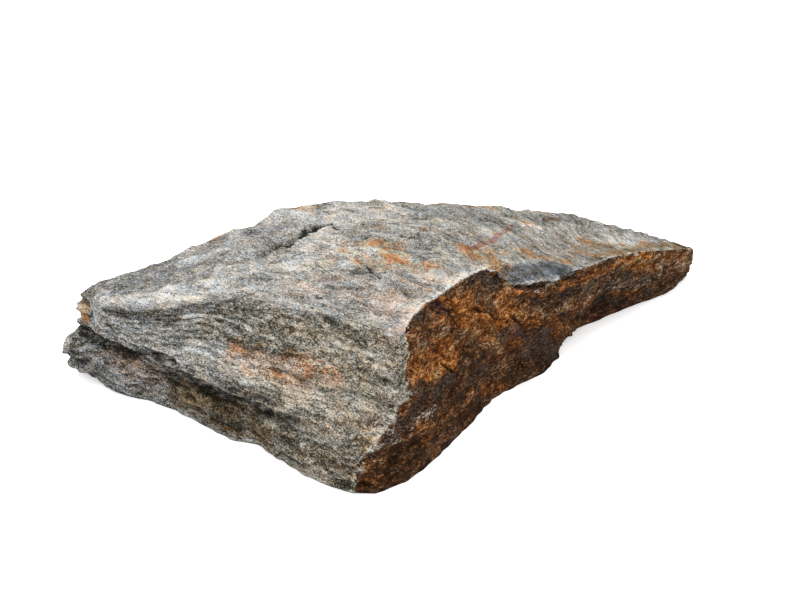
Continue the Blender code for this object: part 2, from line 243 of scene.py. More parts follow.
@dataclass(frozen=True)
class Banding:
    """The layers of the gneiss: the bearing that they strike along, and their dip."""

    strike: float = -41.0
    dip: float = 10.0

    def axes(self) -> Array:
        """Work out the banding's own axes from its strike and dip.

        Returns:
            Three unit vectors as rows: along the strike, up the dip and through the layers.
        """
        strike = math.radians(self.strike)
        dip = math.radians(self.dip)
        along = np.array((math.cos(strike), math.sin(strike), 0.0))
        fall = np.array((math.sin(strike), -math.cos(strike), 0.0))
        through = math.sin(dip) * fall + math.cos(dip) * np.array((0.0, 0.0, 1.0))
        return np.array((along, np.cross(through, along), through))

    def read(self, points: Array) -> Array:
        """Measure points along the banding's own axes."""
        return points @ self.axes().T


# ---------------------------------------------------------------- the stone's form

@dataclass(frozen=True)
class StoneForm:
    """The stone's shape, the same as the solid's: survey lines, tread faces and relief.

    A point of the skin is named by its bearing from the plan centre and by its level: 0 is
    the middle of the tread, 1 to 6 are the survey lines in turn, 7 the middle of the bed.
    A tread face is a point of it, its fall and the bearing that it falls along.  A noise
    is its height, the size of a lump and its own number.
    """

    banding: Banding = Banding()
    carried: Pair = (-69.0, 186.0)
    shelf_shares: Pair = (0.28, 0.20)
    lip_shares: Pair = (0.58, 0.60)
    tread_faces: tuple = (
        ((2, -153, 131), 3.1, 131.0),
        ((-130, 80, 117), 6.5, 127.0),
        ((-163, -50, 121), 11.5, 161.0),
        ((88, 9, 121), 14.5, 22.0),
    )
    face_blend: float = 3.0
    edge_fade: int = 5
    lumps: tuple[Noise, ...] = ((3.4, 118.0, 11), (2.4, 54.0, 23), (1.4, 27.0, 37))
    lump_flatness: float = 0.55
    chips: tuple[Noise, ...] = ((4.2, 48.0, 41), (2.2, 27.0, 53))
    chip_rest: float = 0.6
    ledges: Noise = (3.0, 75.0, 67)
    ledge_thickness: float = 17.0
    step_thickness: float = 13.0
    step_wander: Noise = (0.9, 64.0, 71)
    step_share: float = 0.35
    step_sharpness: float = 3.5
    wing: Pair = (40.0, 200.0)
    wing_calm: float = 0.35
    wing_step_calm: float = 0.85
    upright: tuple = ((0.0, 0.8, 1.6, 3.0, 6.0), (1.0, 1.0, 0.6, 0.2, 0.0))
    broken: tuple = ((0.9, 1.5, 5.5, 6.0), (0.0, 1.0, 1.0, 0.5))
    kept: tuple = ((0.7, 1.0, 1.5, 5.2, 6.0), (1.0, 0.6, 1.0, 1.0, 0.4))

    @staticmethod
    def relative(points: tuple) -> Array:
        """Give the points of a survey line as an array measured from the plan centre."""
        return np.array(points, dtype=float) - (*PLAN_CENTRE, 0.0)

    @staticmethod
    def reach_and_height(line: Array, bearing: Array) -> tuple[Array, Array]:
        """Find how far out and how high a line is on each bearing.

        Args:
            line: the points of the line, from the plan centre.
            bearing: the bearings, in radians.

        Returns:
            Reach and height where the ray on each bearing crosses the chord between the
            two points on either side of it.
        """
        angle = np.arctan2(line[:, 1], line[:, 0])
        order = np.argsort(angle)
        order = np.concatenate((order[-1:], order, order[:1]))
        angle = angle[order]
        angle[0] -= math.tau
        angle[-1] += math.tau
        ring = line[order]
        turned = half_turned(bearing)
        after = np.clip(np.searchsorted(angle, turned), 1, len(angle) - 1)
        first = ring[after - 1]
        along = ring[after] - first
        east, north = outward(turned).T
        across_ray = along[:, 1] * east - along[:, 0] * north
        share = (first[:, 0] * north - first[:, 1] * east) / across_ray
        point = first + share[:, None] * along
        return point[:, 0] * east + point[:, 1] * north, point[:, 2]

    def carried_round(self, front: tuple, shares: Pair) -> Array:
        """Close a line of the front slope by carrying it round the other sides.

        Args:
            front: the line's own points on the front slope.
            shares: the shares of the way out and of the way down from crest to arris.

        Returns:
            The whole line, with a point on each bearing where crest or arris has one.
        """
        crest = self.relative(CREST)
        arris = self.relative(ARRIS)
        corners = np.vstack((crest, arris))
        bearing = np.unique(np.arctan2(corners[:, 1], corners[:, 0]))
        bearing = np.where(bearing < -math.pi / 2, bearing + math.tau, bearing)
        start, end = np.radians(self.carried)
        bearing = np.sort(bearing[(bearing > start) & (bearing < end)])
        top, bottom = (np.column_stack(self.reach_and_height(line, bearing))
                       for line in (crest, arris))
        reach, height = (top + shares * (bottom - top)).T
        rest = np.column_stack((reach[:, None] * outward(bearing), height))
        return np.vstack((self.relative(front), rest))

    def lines(self) -> tuple[Array, ...]:
        """List the closed survey lines.

        Returns:
            Crest, shelf, lip, arris, bed and foot, from the tread's edge down.
        """
        shelf = self.carried_round(SHELF, self.shelf_shares)
        lip = self.carried_round(LIP, self.lip_shares)
        crest, arris, bed, foot = (self.relative(line) for line in (CREST, ARRIS, BED, FOOT))
        return (crest, shelf, lip, arris, bed, foot)

    def tread_height(self, east: Array, north: Array) -> Array:
        """Height of the tread's cleavage faces.

        Args:
            east: how far east each point is.
            north: how far north.

        Returns:
            The soft minimum of the faces' planes: less the blend times the logarithm of the
            sum of exp(-height / blend).
        """
        total = np.zeros_like(east)
        for (x, y, height), fall, facing in self.tread_faces:
            slope = math.tan(math.radians(fall))
            heading = math.radians(facing)
            ahead = (east - x) * math.cos(heading) + (north - y) * math.sin(heading)
            total += np.exp(-(height - slope * ahead) / self.face_blend)
        return -self.face_blend * np.log(total)

    def skin(self, bearing: Array, level: Array) -> Array:
        """Place points of the bare stone, without relief, in millimetres.

        Args:
            bearing: bearing of each point, in radians.
            level: level of each point.

        Returns:
            Points on the straight profile between one survey line and the next.  On the
            tread they lie on its faces, bent to the crest near the edge by the misfit
            times the level to the power of the edge's fade.
        """
        cut = np.array([self.reach_and_height(line, bearing) for line in self.lines()])
        step = np.clip(np.floor(level).astype(int), 0, len(cut))
        reach, height = np.pad(cut, ((1, 1), (0, 0), (0, 0))).transpose(1, 0, 2)
        share = level - step
        point = np.arange(len(bearing))
        out, high = (table[step, point] * (1.0 - share) + table[step + 1, point] * share
                     for table in (reach, height))
        place = PLAN_CENTRE + out[:, None] * outward(bearing)
        edge = PLAN_CENTRE + reach[1][:, None] * outward(bearing)
        misfit = height[1] - self.tread_height(*edge.T)
        fade = np.clip(level, 0.0, 1.0) ** self.edge_fade
        on_tread = self.tread_height(*place.T) + misfit * fade
        return np.column_stack((place, np.where(level < 1.0, on_tread, high)))

    def relief(self, points: Array, on_side: Array) -> Array:
        """How far the surface stands out of the bare stone, in millimetres.

        Args:
            points: points of the bare stone.
            on_side: 0 on the tread, 1 on the sides.

        Returns:
            Soft lumps everywhere, low steps over the layers on the tread, and on the
            sides chips that meet in sharp hollows and ledges, one depth to a layer.
        """
        banded = self.banding.read(points)
        soft = summed_noise(banded / (1.0, 1.0, self.lump_flatness), *self.lumps)
        layer = banded[:, 2] / self.step_thickness + summed_noise(banded, self.step_wander)
        steps = stepped(layer, self.step_sharpness) - layer
        steps *= self.step_thickness * self.step_share
        layer = stepped(banded[:, 2] / self.ledge_thickness, self.step_sharpness)
        rough = leaf_noise(banded, layer, self.ledges)
        for height, size, seed in self.chips:
            rough += height * (2.0 * np.abs(lumpiness(banded / size, seed)) - self.chip_rest)
        start, end = self.wing
        wing = np.clip((points[:, 0] - start) / (end - start), 0.0, 1.0)
        steps *= (1.0 - self.wing_step_calm * wing) * (1.0 - on_side)
        return (soft + rough * on_side) * (1.0 - self.wing_calm * wing) + steps

    def points(self, bearing: Array, level: Array) -> Array:
        """Place points of the stone with the solid's relief, in millimetres.

        Args:
            bearing: bearing of each point, in radians.
            level: level of each point.

        Returns:
            Points whose relief stands up on the tread and out on the sides.
        """
        bare = self.skin(bearing, level)
        upright = np.interp(level, *self.upright)
        raised = self.relief(bare, np.interp(level, *self.broken)) * np.interp(level, *self.kept)
        bare[:, :2] += (raised * (1.0 - upright))[:, None] * outward(bearing)
        bare[:, 2] += raised * upright
        return bare


# ---------------------------------------------------------------- the camera's place

def placed(name: str, data: bpy.types.ID) -> bpy.types.Object:
    """Put a mesh, lamp or camera into the scene.

    Args:
        name: the object's name.
        data: what it shows.

    Returns:
        The new object.
    """
    thing = bpy.data.objects.new(name, data)
    bpy.context.scene.collection.objects.link(thing)
    return thing


@dataclass(frozen=True)
class StudioView:
    """Where the camera stands: it looks along +Y, down at the stone, at a point on the floor."""

    target: Size = (0.008, 0.159, 0.0012)
    elevation: float = 28.0
    distance: float = 2.0
    lens: float = 80.0
    sensor: float = 36.0
    image: Pixel = (800, 600)
    sees_to: float = 20.0

    def axes(self) -> tuple[Vector, Vector, Vector]:
        """Work out the camera's own directions from its elevation.

        Returns:
            Unit vectors to the right, up the image and forward.
        """
        tilt = math.radians(self.elevation)
        level, drop = math.cos(tilt), math.sin(tilt)
        return Vector((1.0, 0.0, 0.0)), Vector((0.0, drop, level)), Vector((0.0, level, -drop))

    def position(self) -> Vector:
        """Find the camera's own place."""
        return Vector(self.target) - self.distance * self.axes()[2]

    def ray(self, pixel: Pixel) -> Vector:
        """Point from the camera through a pixel of the image.

        Args:
            pixel: across from the left edge and down from the top edge.

        Returns:
            The direction: forward, plus the pixel's offset from the image's middle over
            the lens length in pixels, to the right and up.
        """
        length = self.lens / self.sensor * self.image[0]
        right, upward, forward = self.axes()
        across = (pixel[0] - self.image[0] / 2) / length
        down = (pixel[1] - self.image[1] / 2) / length
        return (forward + across * right - down * upward).normalized()

    def make_camera(self) -> None:
        """Set up the scene's camera."""
        camera = bpy.data.cameras.new("studio_camera")
        camera.lens = self.lens
        camera.sensor_width = self.sensor
        camera.clip_end = self.sees_to
        mount = placed("studio_camera", camera)
        mount.location = self.position()
        aim = Vector(self.target) - self.position()
        mount.rotation_euler = aim.to_track_quat("-Z", "Y").to_euler()
        bpy.context.scene.camera = mount


# ---------------------------------------------------------------- marks on the stone

class Tint(Enum):
    """What a mark does to the rock's colour."""

    RUST = "rust"
    # Pale marks are partly pale rock and frost, and partly painted highlight.
    PALE_AND_LIT = "pale"
    # Dark marks are partly the rock's own dark patches and partly painted shadow and shade.
    DARK = "dark"
    BLUE = "blue"
    ROSE = "rose"
    SOIL = "soil"
    VEIN = "vein"


@dataclass(frozen=True)
class Stroke:
    """A mark or a carving along a path of pixels seen from the studio view.

    It reaches its width to each side, in millimetres.  A mark's strength is how much of
    the tint it gives, up to 1.  A carving's is how deep it cuts, in millimetres, and where
    that is less than nothing the rock stands out.
    """

    width: float
    strength: float
    path: tuple[Pixel, ...]


def strokes(*rows: tuple) -> tuple[Stroke, ...]:
    """Make a stroke of each row: its width, its strength and its path, pixel by pixel."""
    return tuple(Stroke(width, strength, path) for width, strength, *path in rows)


# On the weathered rock.
MARKS = {
    Tint.RUST: strokes(
        (17, 0.85, (368, 244), (388, 246), (392, 256)),
        (15, 0.75, (362, 262), (384, 266), (404, 264)),
        (16, 0.5, (392, 250), (418, 262), (434, 266)), (18, 0.3, (335, 256), (360, 258)),
        (21, 1, (466, 250), (484, 254)), (17, 0.95, (490, 258), (500, 266)),
        (15, 0.95, (526, 254), (545, 257), (568, 262)), (12, 0.8, (510, 216), (526, 224)),
        (9, 0.85, (430, 208), (462, 209), (500, 213)),
        (16, 0.45, (540, 246), (570, 250), (600, 258)),
        (16, 0.6, (486, 247), (506, 250), (522, 254)), (10, 0.8, (586, 241), (598, 243)),
        (8, 0.6, (536, 212), (550, 213)), (6, 0.8, (421, 229), (424, 230)),
        (9, 0.6, (372, 227), (386, 228)), (10, 0.4, (420, 296), (432, 290)),
        (9, 0.6, (270, 212), (292, 208), (310, 207)), (8, 0.65, (204, 245), (216, 239)),
        (8, 0.5, (100, 279), (124, 273), (150, 266)),
        (6, 0.75, (228, 336), (246, 341), (256, 345)),
        (8, 0.72, (236, 348), (252, 354), (272, 364), (282, 372)),
        (8, 0.55, (284, 354), (300, 358), (322, 370), (338, 378)),
        (6, 0.6, (284, 384), (306, 378), (322, 372)), (5, 0.6, (262, 330), (272, 333)),
        (6, 0.8, (224, 427), (232, 430)), (5, 0.8, (300, 452), (306, 455)),
        (7, 1, (84, 300), (86, 306)), (7, 1, (84, 312), (86, 319)),
        (30, 0.35, (350, 250), (372, 256), (400, 262), (430, 268)),
        (8, 0.8, (400, 262), (410, 268)), (14, 0.55, (600, 250), (640, 245), (676, 245)),
        (12, 0.55, (574, 252), (600, 255), (632, 250)),
        (5, 0.8, (640, 250), (664, 250), (686, 252)),
    ),
    # Pale marks: a painted highlight along the crest of the front slope and over the tread,
    # painted light on the gentler bands of the front slope, and pale frost of the rock's own
    # colour at the rim of the broken face.
    Tint.PALE_AND_LIT: strokes(
        (26, 0.5, (340, 250), (380, 256), (430, 264)),
        (20, 0.5, (110, 305), (200, 288), (280, 258), (348, 219)),
        (9, 0.85, (480, 268), (448, 284), (420, 303), (406, 326)),
        (5, 0.9, (524, 226), (537, 229)), (32, 0.5, (306, 214), (350, 213), (400, 213)),
        (17, 0.7, (226, 268), (262, 266), (300, 264)), (14, 0.5, (300, 286), (316, 290)),
        (16, 0.35, (300, 316), (345, 318), (394, 322)),
        (15, 0.55, (225, 365), (262, 380), (300, 392), (330, 398)),
        (9, 0.3, (130, 332), (150, 338), (170, 342)),
        (8, 0.5, (184, 344), (208, 352), (228, 362), (246, 372)),
        (10, 0.35, (368, 346), (384, 356), (392, 372)), (9, 1, (316, 474), (328, 479)),
        (7, 0.9, (376, 428), (382, 432)),
        (9, 0.32, (90, 300), (130, 302), (160, 298), (190, 298), (216, 292), (240, 286)),
        (9, 0.7, (196, 344), (214, 346), (236, 352)),
        (11, 0.42, (328, 334), (342, 342), (356, 350)),
        (9, 0.55, (322, 384), (344, 390), (372, 404)),
        (12, 0.2, (100, 286), (120, 282), (300, 306), (340, 306)),
        (20, 0.42, (400, 304), (420, 296), (444, 282)),
        (18, 0.35, (574, 240), (610, 243), (650, 245)),
    ),
    Tint.SOIL: strokes(
        (32, 0.36, (476, 236), (520, 244), (580, 246)),
        (15, 0.38, (112, 352), (134, 366), (160, 378), (190, 392)),
        (14, 0.5, (330, 470), (350, 462), (366, 448)),
        (26, 0.38, (580, 245), (620, 247), (684, 248)),
        (9, 0.7, (590, 259), (620, 252), (650, 246), (686, 247)),
        (20, 0.75, (176, 394), (205, 408), (262, 434)), (10, 0.6, (190, 390), (230, 412)),
        (10, 0.35, (320, 465), (350, 470)),
    ),
    Tint.ROSE: strokes(
        (16, 0.6, (240, 350), (262, 362), (300, 372), (336, 376)),
        (18, 0.9, (112, 352), (134, 364), (156, 376)),
        (34, 0.45, (310, 290), (350, 280), (398, 290), (440, 280)),
        (24, 0.6, (376, 300), (398, 310), (400, 330)),
        (22, 0.35, (330, 440), (364, 430), (384, 410)),
        (16, 0.5, (240, 352), (280, 372), (330, 384)),
    ),
    Tint.VEIN: strokes(
        (5.5, 1, (467, 249), (480, 245), (495, 241), (505, 232), (512, 226)),
        (5.5, 0.8, (545, 220), (560, 220)),
    ),
    # Dark marks: painted shadow under the lip of the front ledge and the bench, painted shade
    # below the crest, in the hollow of the front slope and at the foot, and dark patches of the
    # rock's own colour.
    Tint.DARK: strokes(
        (7, 0.85, (140, 352), (160, 358), (176, 364), (190, 373)),
        (9, 0.85, (148, 364), (168, 373), (186, 384)), (12, 0.5, (216, 422), (236, 430)),
        (12, 0.6, (206, 380), (236, 388), (272, 396)),
        (5, 0.6, (588, 266), (600, 262), (616, 258)),
        (8, 0.85, (106, 308), (130, 314), (160, 310), (190, 308), (214, 306)),
        (5, 0.7, (126, 315), (160, 312), (190, 311), (214, 310)),
        (14, 0.38, (216, 301), (240, 308), (262, 318), (282, 330)),
        (4, 0.6, (226, 337), (242, 345), (262, 354), (284, 358)),
        (5, 0.5, (318, 316), (345, 327), (364, 344), (382, 353)),
        (8, 0.45, (250, 343), (268, 350), (284, 352)),
        (10, 0.15, (300, 320), (340, 326), (380, 338)), (4, 0.6, (330, 286), (352, 290)),
        (22, 0.18, (214, 324), (262, 336), (306, 346), (345, 358), (372, 370)),
        (9, 0.95, (84, 330), (110, 342), (130, 351), (150, 359), (170, 367), (188, 377),
         (205, 388)),
        (9, 0.85, (205, 388), (230, 399), (264, 413)),
        (15, 0.28, (230, 400), (262, 414), (290, 426)), (8, 1, (332, 486), (344, 487), (356, 486)),
        (14, 0.5, (72, 344), (80, 360)), (6, 0.6, (358, 270), (374, 276)),
        (34, 0.22, (450, 218), (500, 222), (560, 226)),
        (10, 0.28, (124, 284), (170, 272), (205, 262)),
        (15, 0.45, (513, 275), (530, 271), (558, 270)),
        (22, 0.3, (336, 290), (360, 291), (384, 290)),
        (15, 0.28, (560, 216), (600, 224), (640, 233), (670, 241)),
        (14, 0.5, (288, 442), (312, 450), (332, 462)),
    ),
    Tint.BLUE: strokes(
        (30, 0.45, (430, 214), (455, 214), (480, 220)),
        (17, 1, (512, 275), (528, 271), (548, 270), (561, 270)),
        (18, 0.45, (225, 238), (262, 232), (300, 224)),
        (16, 0.3, (100, 315), (140, 325), (180, 330)),
        (14, 0.45, (130, 283), (170, 271), (215, 259), (240, 250)),
        (20, 0.35, (560, 217), (600, 225), (640, 234), (664, 240)),
    ),
}
# On the broken face.
BROKEN_MARKS = {
    Tint.RUST: strokes(
        (22, 0.9, (432, 302), (456, 312), (480, 322), (520, 330)),
        (18, 0.9, (408, 376), (428, 366), (450, 352)), (14, 0.6, (500, 300), (530, 318)),
        (9, 0.6, (548, 332), (566, 326)),
        (4.5, 1, (516, 293), (540, 292), (566, 286), (596, 272), (626, 259), (650, 252)),
        (12, 0.4, (410, 440), (440, 420), (470, 392)), (4, 1, (612, 293), (638, 287)),
        (7, 0.95, (630, 263), (656, 268)), (7, 0.6, (664, 256), (684, 256)),
        (6, 1, (554, 318), (558, 330)), (8, 0.9, (484, 392), (500, 386)),
        (7, 0.6, (410, 430), (424, 428)), (6, 0.9, (444, 342), (454, 346)),
        (10, 0.8, (462, 294), (474, 296)),
    ),
    # Dark marks: dark slate patches of the rock's own colour, and painted shadow in the undercut
    # below the bench.
    Tint.DARK: strokes(
        (5, 1, (518, 286), (536, 286), (556, 282), (574, 274)), (6, 0.9, (640, 276), (648, 296)),
        (6, 0.9, (584, 308), (604, 298), (622, 300)),
        (11, 0.8, (410, 322), (430, 307), (447, 316)),
        (10, 0.8, (472, 280), (482, 276), (494, 284)), (9, 0.9, (404, 390), (422, 388)),
        (8, 0.9, (374, 452), (392, 432), (410, 410), (430, 395), (448, 376)),
        (9, 1, (496, 336), (512, 328), (522, 334)), (13, 0.8, (524, 350), (545, 345), (556, 355)),
        (8, 0.6, (532, 332), (546, 332)),
        (13, 0.6, (536, 300), (566, 296), (600, 284), (640, 272)),
        (9, 0.5, (452, 400), (470, 380), (490, 362)),
    ),
    # Pale marks here: pale fibres along the arris and pale frost on the wing.
    Tint.PALE_AND_LIT: strokes(
        (4.5, 0.8, (374, 454), (392, 436), (410, 420), (426, 407)),
        (6, 0.55, (468, 352), (480, 344)), (6, 0.4, (430, 345), (456, 338)),
        (2.5, 0.9, (528, 292), (545, 289), (558, 285)),
        (16, 0.5, (590, 288), (640, 278), (684, 260)),
        (5, 0.45, (408, 336), (412, 312), (424, 298), (444, 284)),
    ),
}
# Where the broken face begins on the near corner, from the rim down to the foot.
CORNER_EDGE = (
    (404, 341), (404, 351), (401, 373), (400, 384), (400, 399), (391, 410), (379, 429),
    (366, 448), (353, 464), (346, 482),
)
# Open cracks.
CRACKS = strokes(
    (2.7, 4.5, (273, 247), (280, 244), (287, 245), (293, 240), (301, 238)),
    (4.4, 6, (302, 237), (305, 232), (312, 231), (316, 227), (323, 226)),
    (2.6, 4, (330, 224), (334, 227), (339, 229)),
    (2.6, 3.2, (366, 266), (371, 269), (375, 274), (381, 277)),
    (1.8, 2, (330, 285), (340, 287), (350, 289)), (1.8, 2, (358, 236), (366, 237)),
    (1.4, 1.5, (424, 263), (434, 268)), (1.6, 2, (428, 282), (446, 290)),
    (1.8, 2, (316, 297), (328, 299)), (2.6, 4, (430, 298), (440, 304), (450, 312)),
    (2, 3, (452, 314), (456, 322), (450, 330)), (2, 3, (478, 310), (488, 313), (494, 318)),
    (2.2, 3.5, (506, 314), (514, 322), (522, 328)), (2.6, 4, (444, 364), (450, 372), (449, 384)),
)
# The undercuts below the front ledge and the bench, the hollows of the front slope, and the
# swells of the back edge and the lower block.
GROOVES = strokes(
    (7, 9, (86, 330), (110, 341), (130, 350), (150, 357), (170, 363), (188, 372), (203, 384)),
    (7, 5.5, (206, 387), (230, 397), (267, 410)), (8, 2, (264, 408), (300, 424), (336, 436)),
    (24, -4, (384, 206), (430, 209), (490, 212)),
    (6, 3.2, (126, 315), (150, 313), (172, 309), (200, 311), (216, 306)),
    (16, 4, (222, 318), (262, 330), (306, 340), (350, 354)),
    (10, 2.5, (120, 318), (160, 322), (210, 330)), (9, 2, (262, 368), (310, 384), (360, 398)),
    (4.5, 4.5, (518, 288), (536, 287), (556, 283), (574, 275)),
    (9, -1.6, (230, 352), (280, 364), (330, 376)),
)
# The lip of the front ledge, the arris that crosses the broken face and the ledge below the
# bench, with straight flanks.
RIDGES = strokes(
    (7, -4, (86, 318), (117, 333), (144, 344), (165, 349), (182, 358), (200, 370), (225, 382),
     (255, 395)),
    (14, -8, (366, 464), (392, 440), (420, 420), (447, 380), (477, 352), (510, 332), (552, 322)),
    (6, -2.5, (404, 396), (424, 382), (446, 366)),
    (5, -3, (516, 294), (540, 293), (566, 287), (596, 273), (626, 260)),
)


# ---------------------------------------------------------------- the fine surface

def sheet_faces(index: Array) -> Array:
    """List the squares of a sheet of vertex numbers, anticlockwise seen from above."""
    corners = (index[:-1, :-1], index[:-1, 1:], index[1:, 1:], index[1:, :-1])
    return np.stack(corners, axis=-1).reshape(-1, 4)


def sheet_edge(index: Array) -> Array:
    """List the vertices round a sheet, anticlockwise from its lower left corner."""
    return np.concatenate((index[0, :-1], index[:-1, -1], index[-1, :0:-1], index[:0:-1, 0]))


def stroke_distance(points: Array, path: Array) -> Array:
    """Measure how far points are from a path of straight pieces.

    Args:
        points: the points, one row each.
        path: the path's corners, one row each.

    Returns:
        The least distance to any piece, where a piece's nearest place is the point's share
        of the way along it, held between its ends.  An empty path is endlessly far off.
    """
    nearest = np.full(len(points), np.inf)
    for start, end in zip(path, np.vstack((path[1:], path[-1:]))):
        along = end - start
        share = np.clip((points - start) @ along / max(along @ along, TINY), 0.0, 1.0)
        away = points - start - share[:, None] * along
        nearest = np.minimum(nearest, np.linalg.norm(away, axis=1))
    return nearest


@dataclass(frozen=True)
class FineForm:
    """The numbers of the fine surface, in millimetres, levels and degrees.

    A noise is its height, the size of a lump and its own number; where the size has three
    numbers they run along the strike, up the dip and through the layers.  A turn is two
    bearings.  A pair is where something begins and where it is full.
    """

    # The foot, the bed and the outline.
    foot_rise: Noise = (1.2, 40.0, 5)
    bed_hollow: float = 2.4
    bed_lumps: tuple[Noise, ...] = ((1.0, 33.0, 9), (0.5, 9.0, 10))
    bed_levels: Pair = (5.6, 6.0)
    foot_levels: Pair = (4.2, 5.4)
    foot_spread: float = 1.5
    foot_lumps: tuple[Noise, ...] = ((2.6, 24.0, 601), (1.8, 11.0, 602))
    foot_bays: tuple = ((-238, 32, 10), (-137, 12, 4.5), (-105, 26, 2.5), (104, 22, 5.5))
    # Layers that stand out: their thickness, how it wanders, and how sharp their edges are.
    slabs: tuple = (7.0, (0.6, 30.0, 603), 4.0)
    slab_length: Noise = (5.5, 14.0, 604)
    slab_rest: float = 1.65
    splinters: tuple = (4.6, (0.4, 20.0, 605), 4.0)
    splinter_length: Noise = (7.0, 8.0, 606)
    splinter_levels: Pair = (3.0, 3.6)
    left_end: Pair = (285.0, 318.0)
    left_levels: Pair = (1.0, 1.5)
    ledges: tuple = (12.0, (0.7, 70.0, 607), 5.0)
    ledge_length: Noise = (6.3, 46.0, 608)
    half_ledge_length: Noise = (2.25, 17.0, 609)
    ledge_levels: Pair = (1.6, 2.6)
    ledge_turns: tuple[Pair, Pair] = ((30.0, 45.0), (150.0, 166.0))
    # The broken face, the noise that frays it out behind the tip, and its chipped rim.
    crest_depth: float = 2.0
    seam_turn: float = -172.0
    back_turn: Pair = (24.0, 40.0)
    fray_turn: Pair = (24.0, 60.0)
    fray_start: float = 14.0
    fray_fall: float = 44.0
    fray: tuple[Noise, ...] = ((46.0, (85.0, 85.0, 15.0), 301), (16.0, (20.0, 20.0, 5.0), 302))
    left_turn: Pair = (166.0, 178.0)
    left_gap: float = 30.0
    tip_turn: Pair = (21.5, 25.0)
    tip_drop: float = 20.0
    rim_turn: Pair = (24.0, 32.0)
    rim_reach: Pair = (2.0, 12.0)
    rim_chips: tuple[Noise, ...] = ((1.0, 14.0, 701), (0.7, 6.5, 702))
    rim_rest: float = 0.05
    rim_most: float = 0.7
    rim_depth: float = 7.0
    rim_inset: float = 1.4
    # The weathered rock.
    side_levels: Pair = (0.95, 1.3)
    wave: Noise = (0.9, (30.0, 18.0, 10.5), 401)
    ripple: Noise = (0.6, (15.0, 9.0, 5.25), 402)
    lamina: float = 5.2
    lamina_wander: tuple[Noise, ...] = ((1.1, 46.0, 403), (0.5, 15.0, 404))
    lamina_edge: float = 0.42
    lamina_side_edge: float = 0.5
    lamina_sharpness: float = 3.0
    grain: tuple[Noise, ...] = ((0.40, (8.0, 4.8, 2.8), 405), (0.30, (4.4, 3.52, 2.64), 406))
    side_grain: float = 0.9
    crest_levels: float = 0.12
    crest_calm: float = 0.2
    # The broken rock: facets are a noise with their lean.
    brown_blend: Pair = (-2.0, 6.0)
    hackle: tuple = (7.0, (28.0, 36.0, 20.0), 421, 1.3)
    chips: tuple = ((3.6, (11.0, 15.0, 7.0), 431, 1.5), (1.4, (6.0, 6.0, 6.0), 441, 1.5))
    split: float = 7.5
    split_wander: tuple[Noise, ...] = ((0.9, (30.0, 48.0, 20.0), 451), (0.4, 12.0, 452))
    split_edge: float = 3.2
    split_sharpness: float = 3.5
    tip: Pair = (285.0, 325.0)
    tip_calm: float = 0.7
    broken_grain: float = 0.6
    chip_share: float = 0.6
    # Strokes: how they bend, and how they fade with the distance over their width.
    mark_blend: Pair = (-3.0, 3.0)
    mark_bends: Noise = (4.0, 14.0, 520)
    mark_fade: Pair = (0.33, 1.33)
    carving_bends: Noise = (2.4, 8.0, 530)
    carving_reach: float = 1.3
    carving_full: float = 0.8
    ragged: tuple[Noise, ...] = ((0.35, 7.0, 501), (0.3, 17.0, 502))
    # What the finish reads.
    # Painted shade: relief_shade paints the hollows of the fine relief darker and what stands out
    # lighter; crack_shade paints the open cracks darker.
    relief_shade: float = 0.22
    crack_shade: float = 0.2
    crack_depth: float = 4.0
    edge_levels: Pair = (0.95, 1.2)
    # Painted shade: arris_levels mark the steep facet below the arris, which is painted darker.
    arris_levels: Pair = (3.9, 4.2)
    warm_east: Pair = (-290.0, -20.0)
    warm_tread: float = 0.35
    brushed_east: Pair = (-20.0, 150.0)
    # Painted shade: low_heights give the band above the floor that is painted darker.
    low_heights: Pair = (4.0, 34.0)


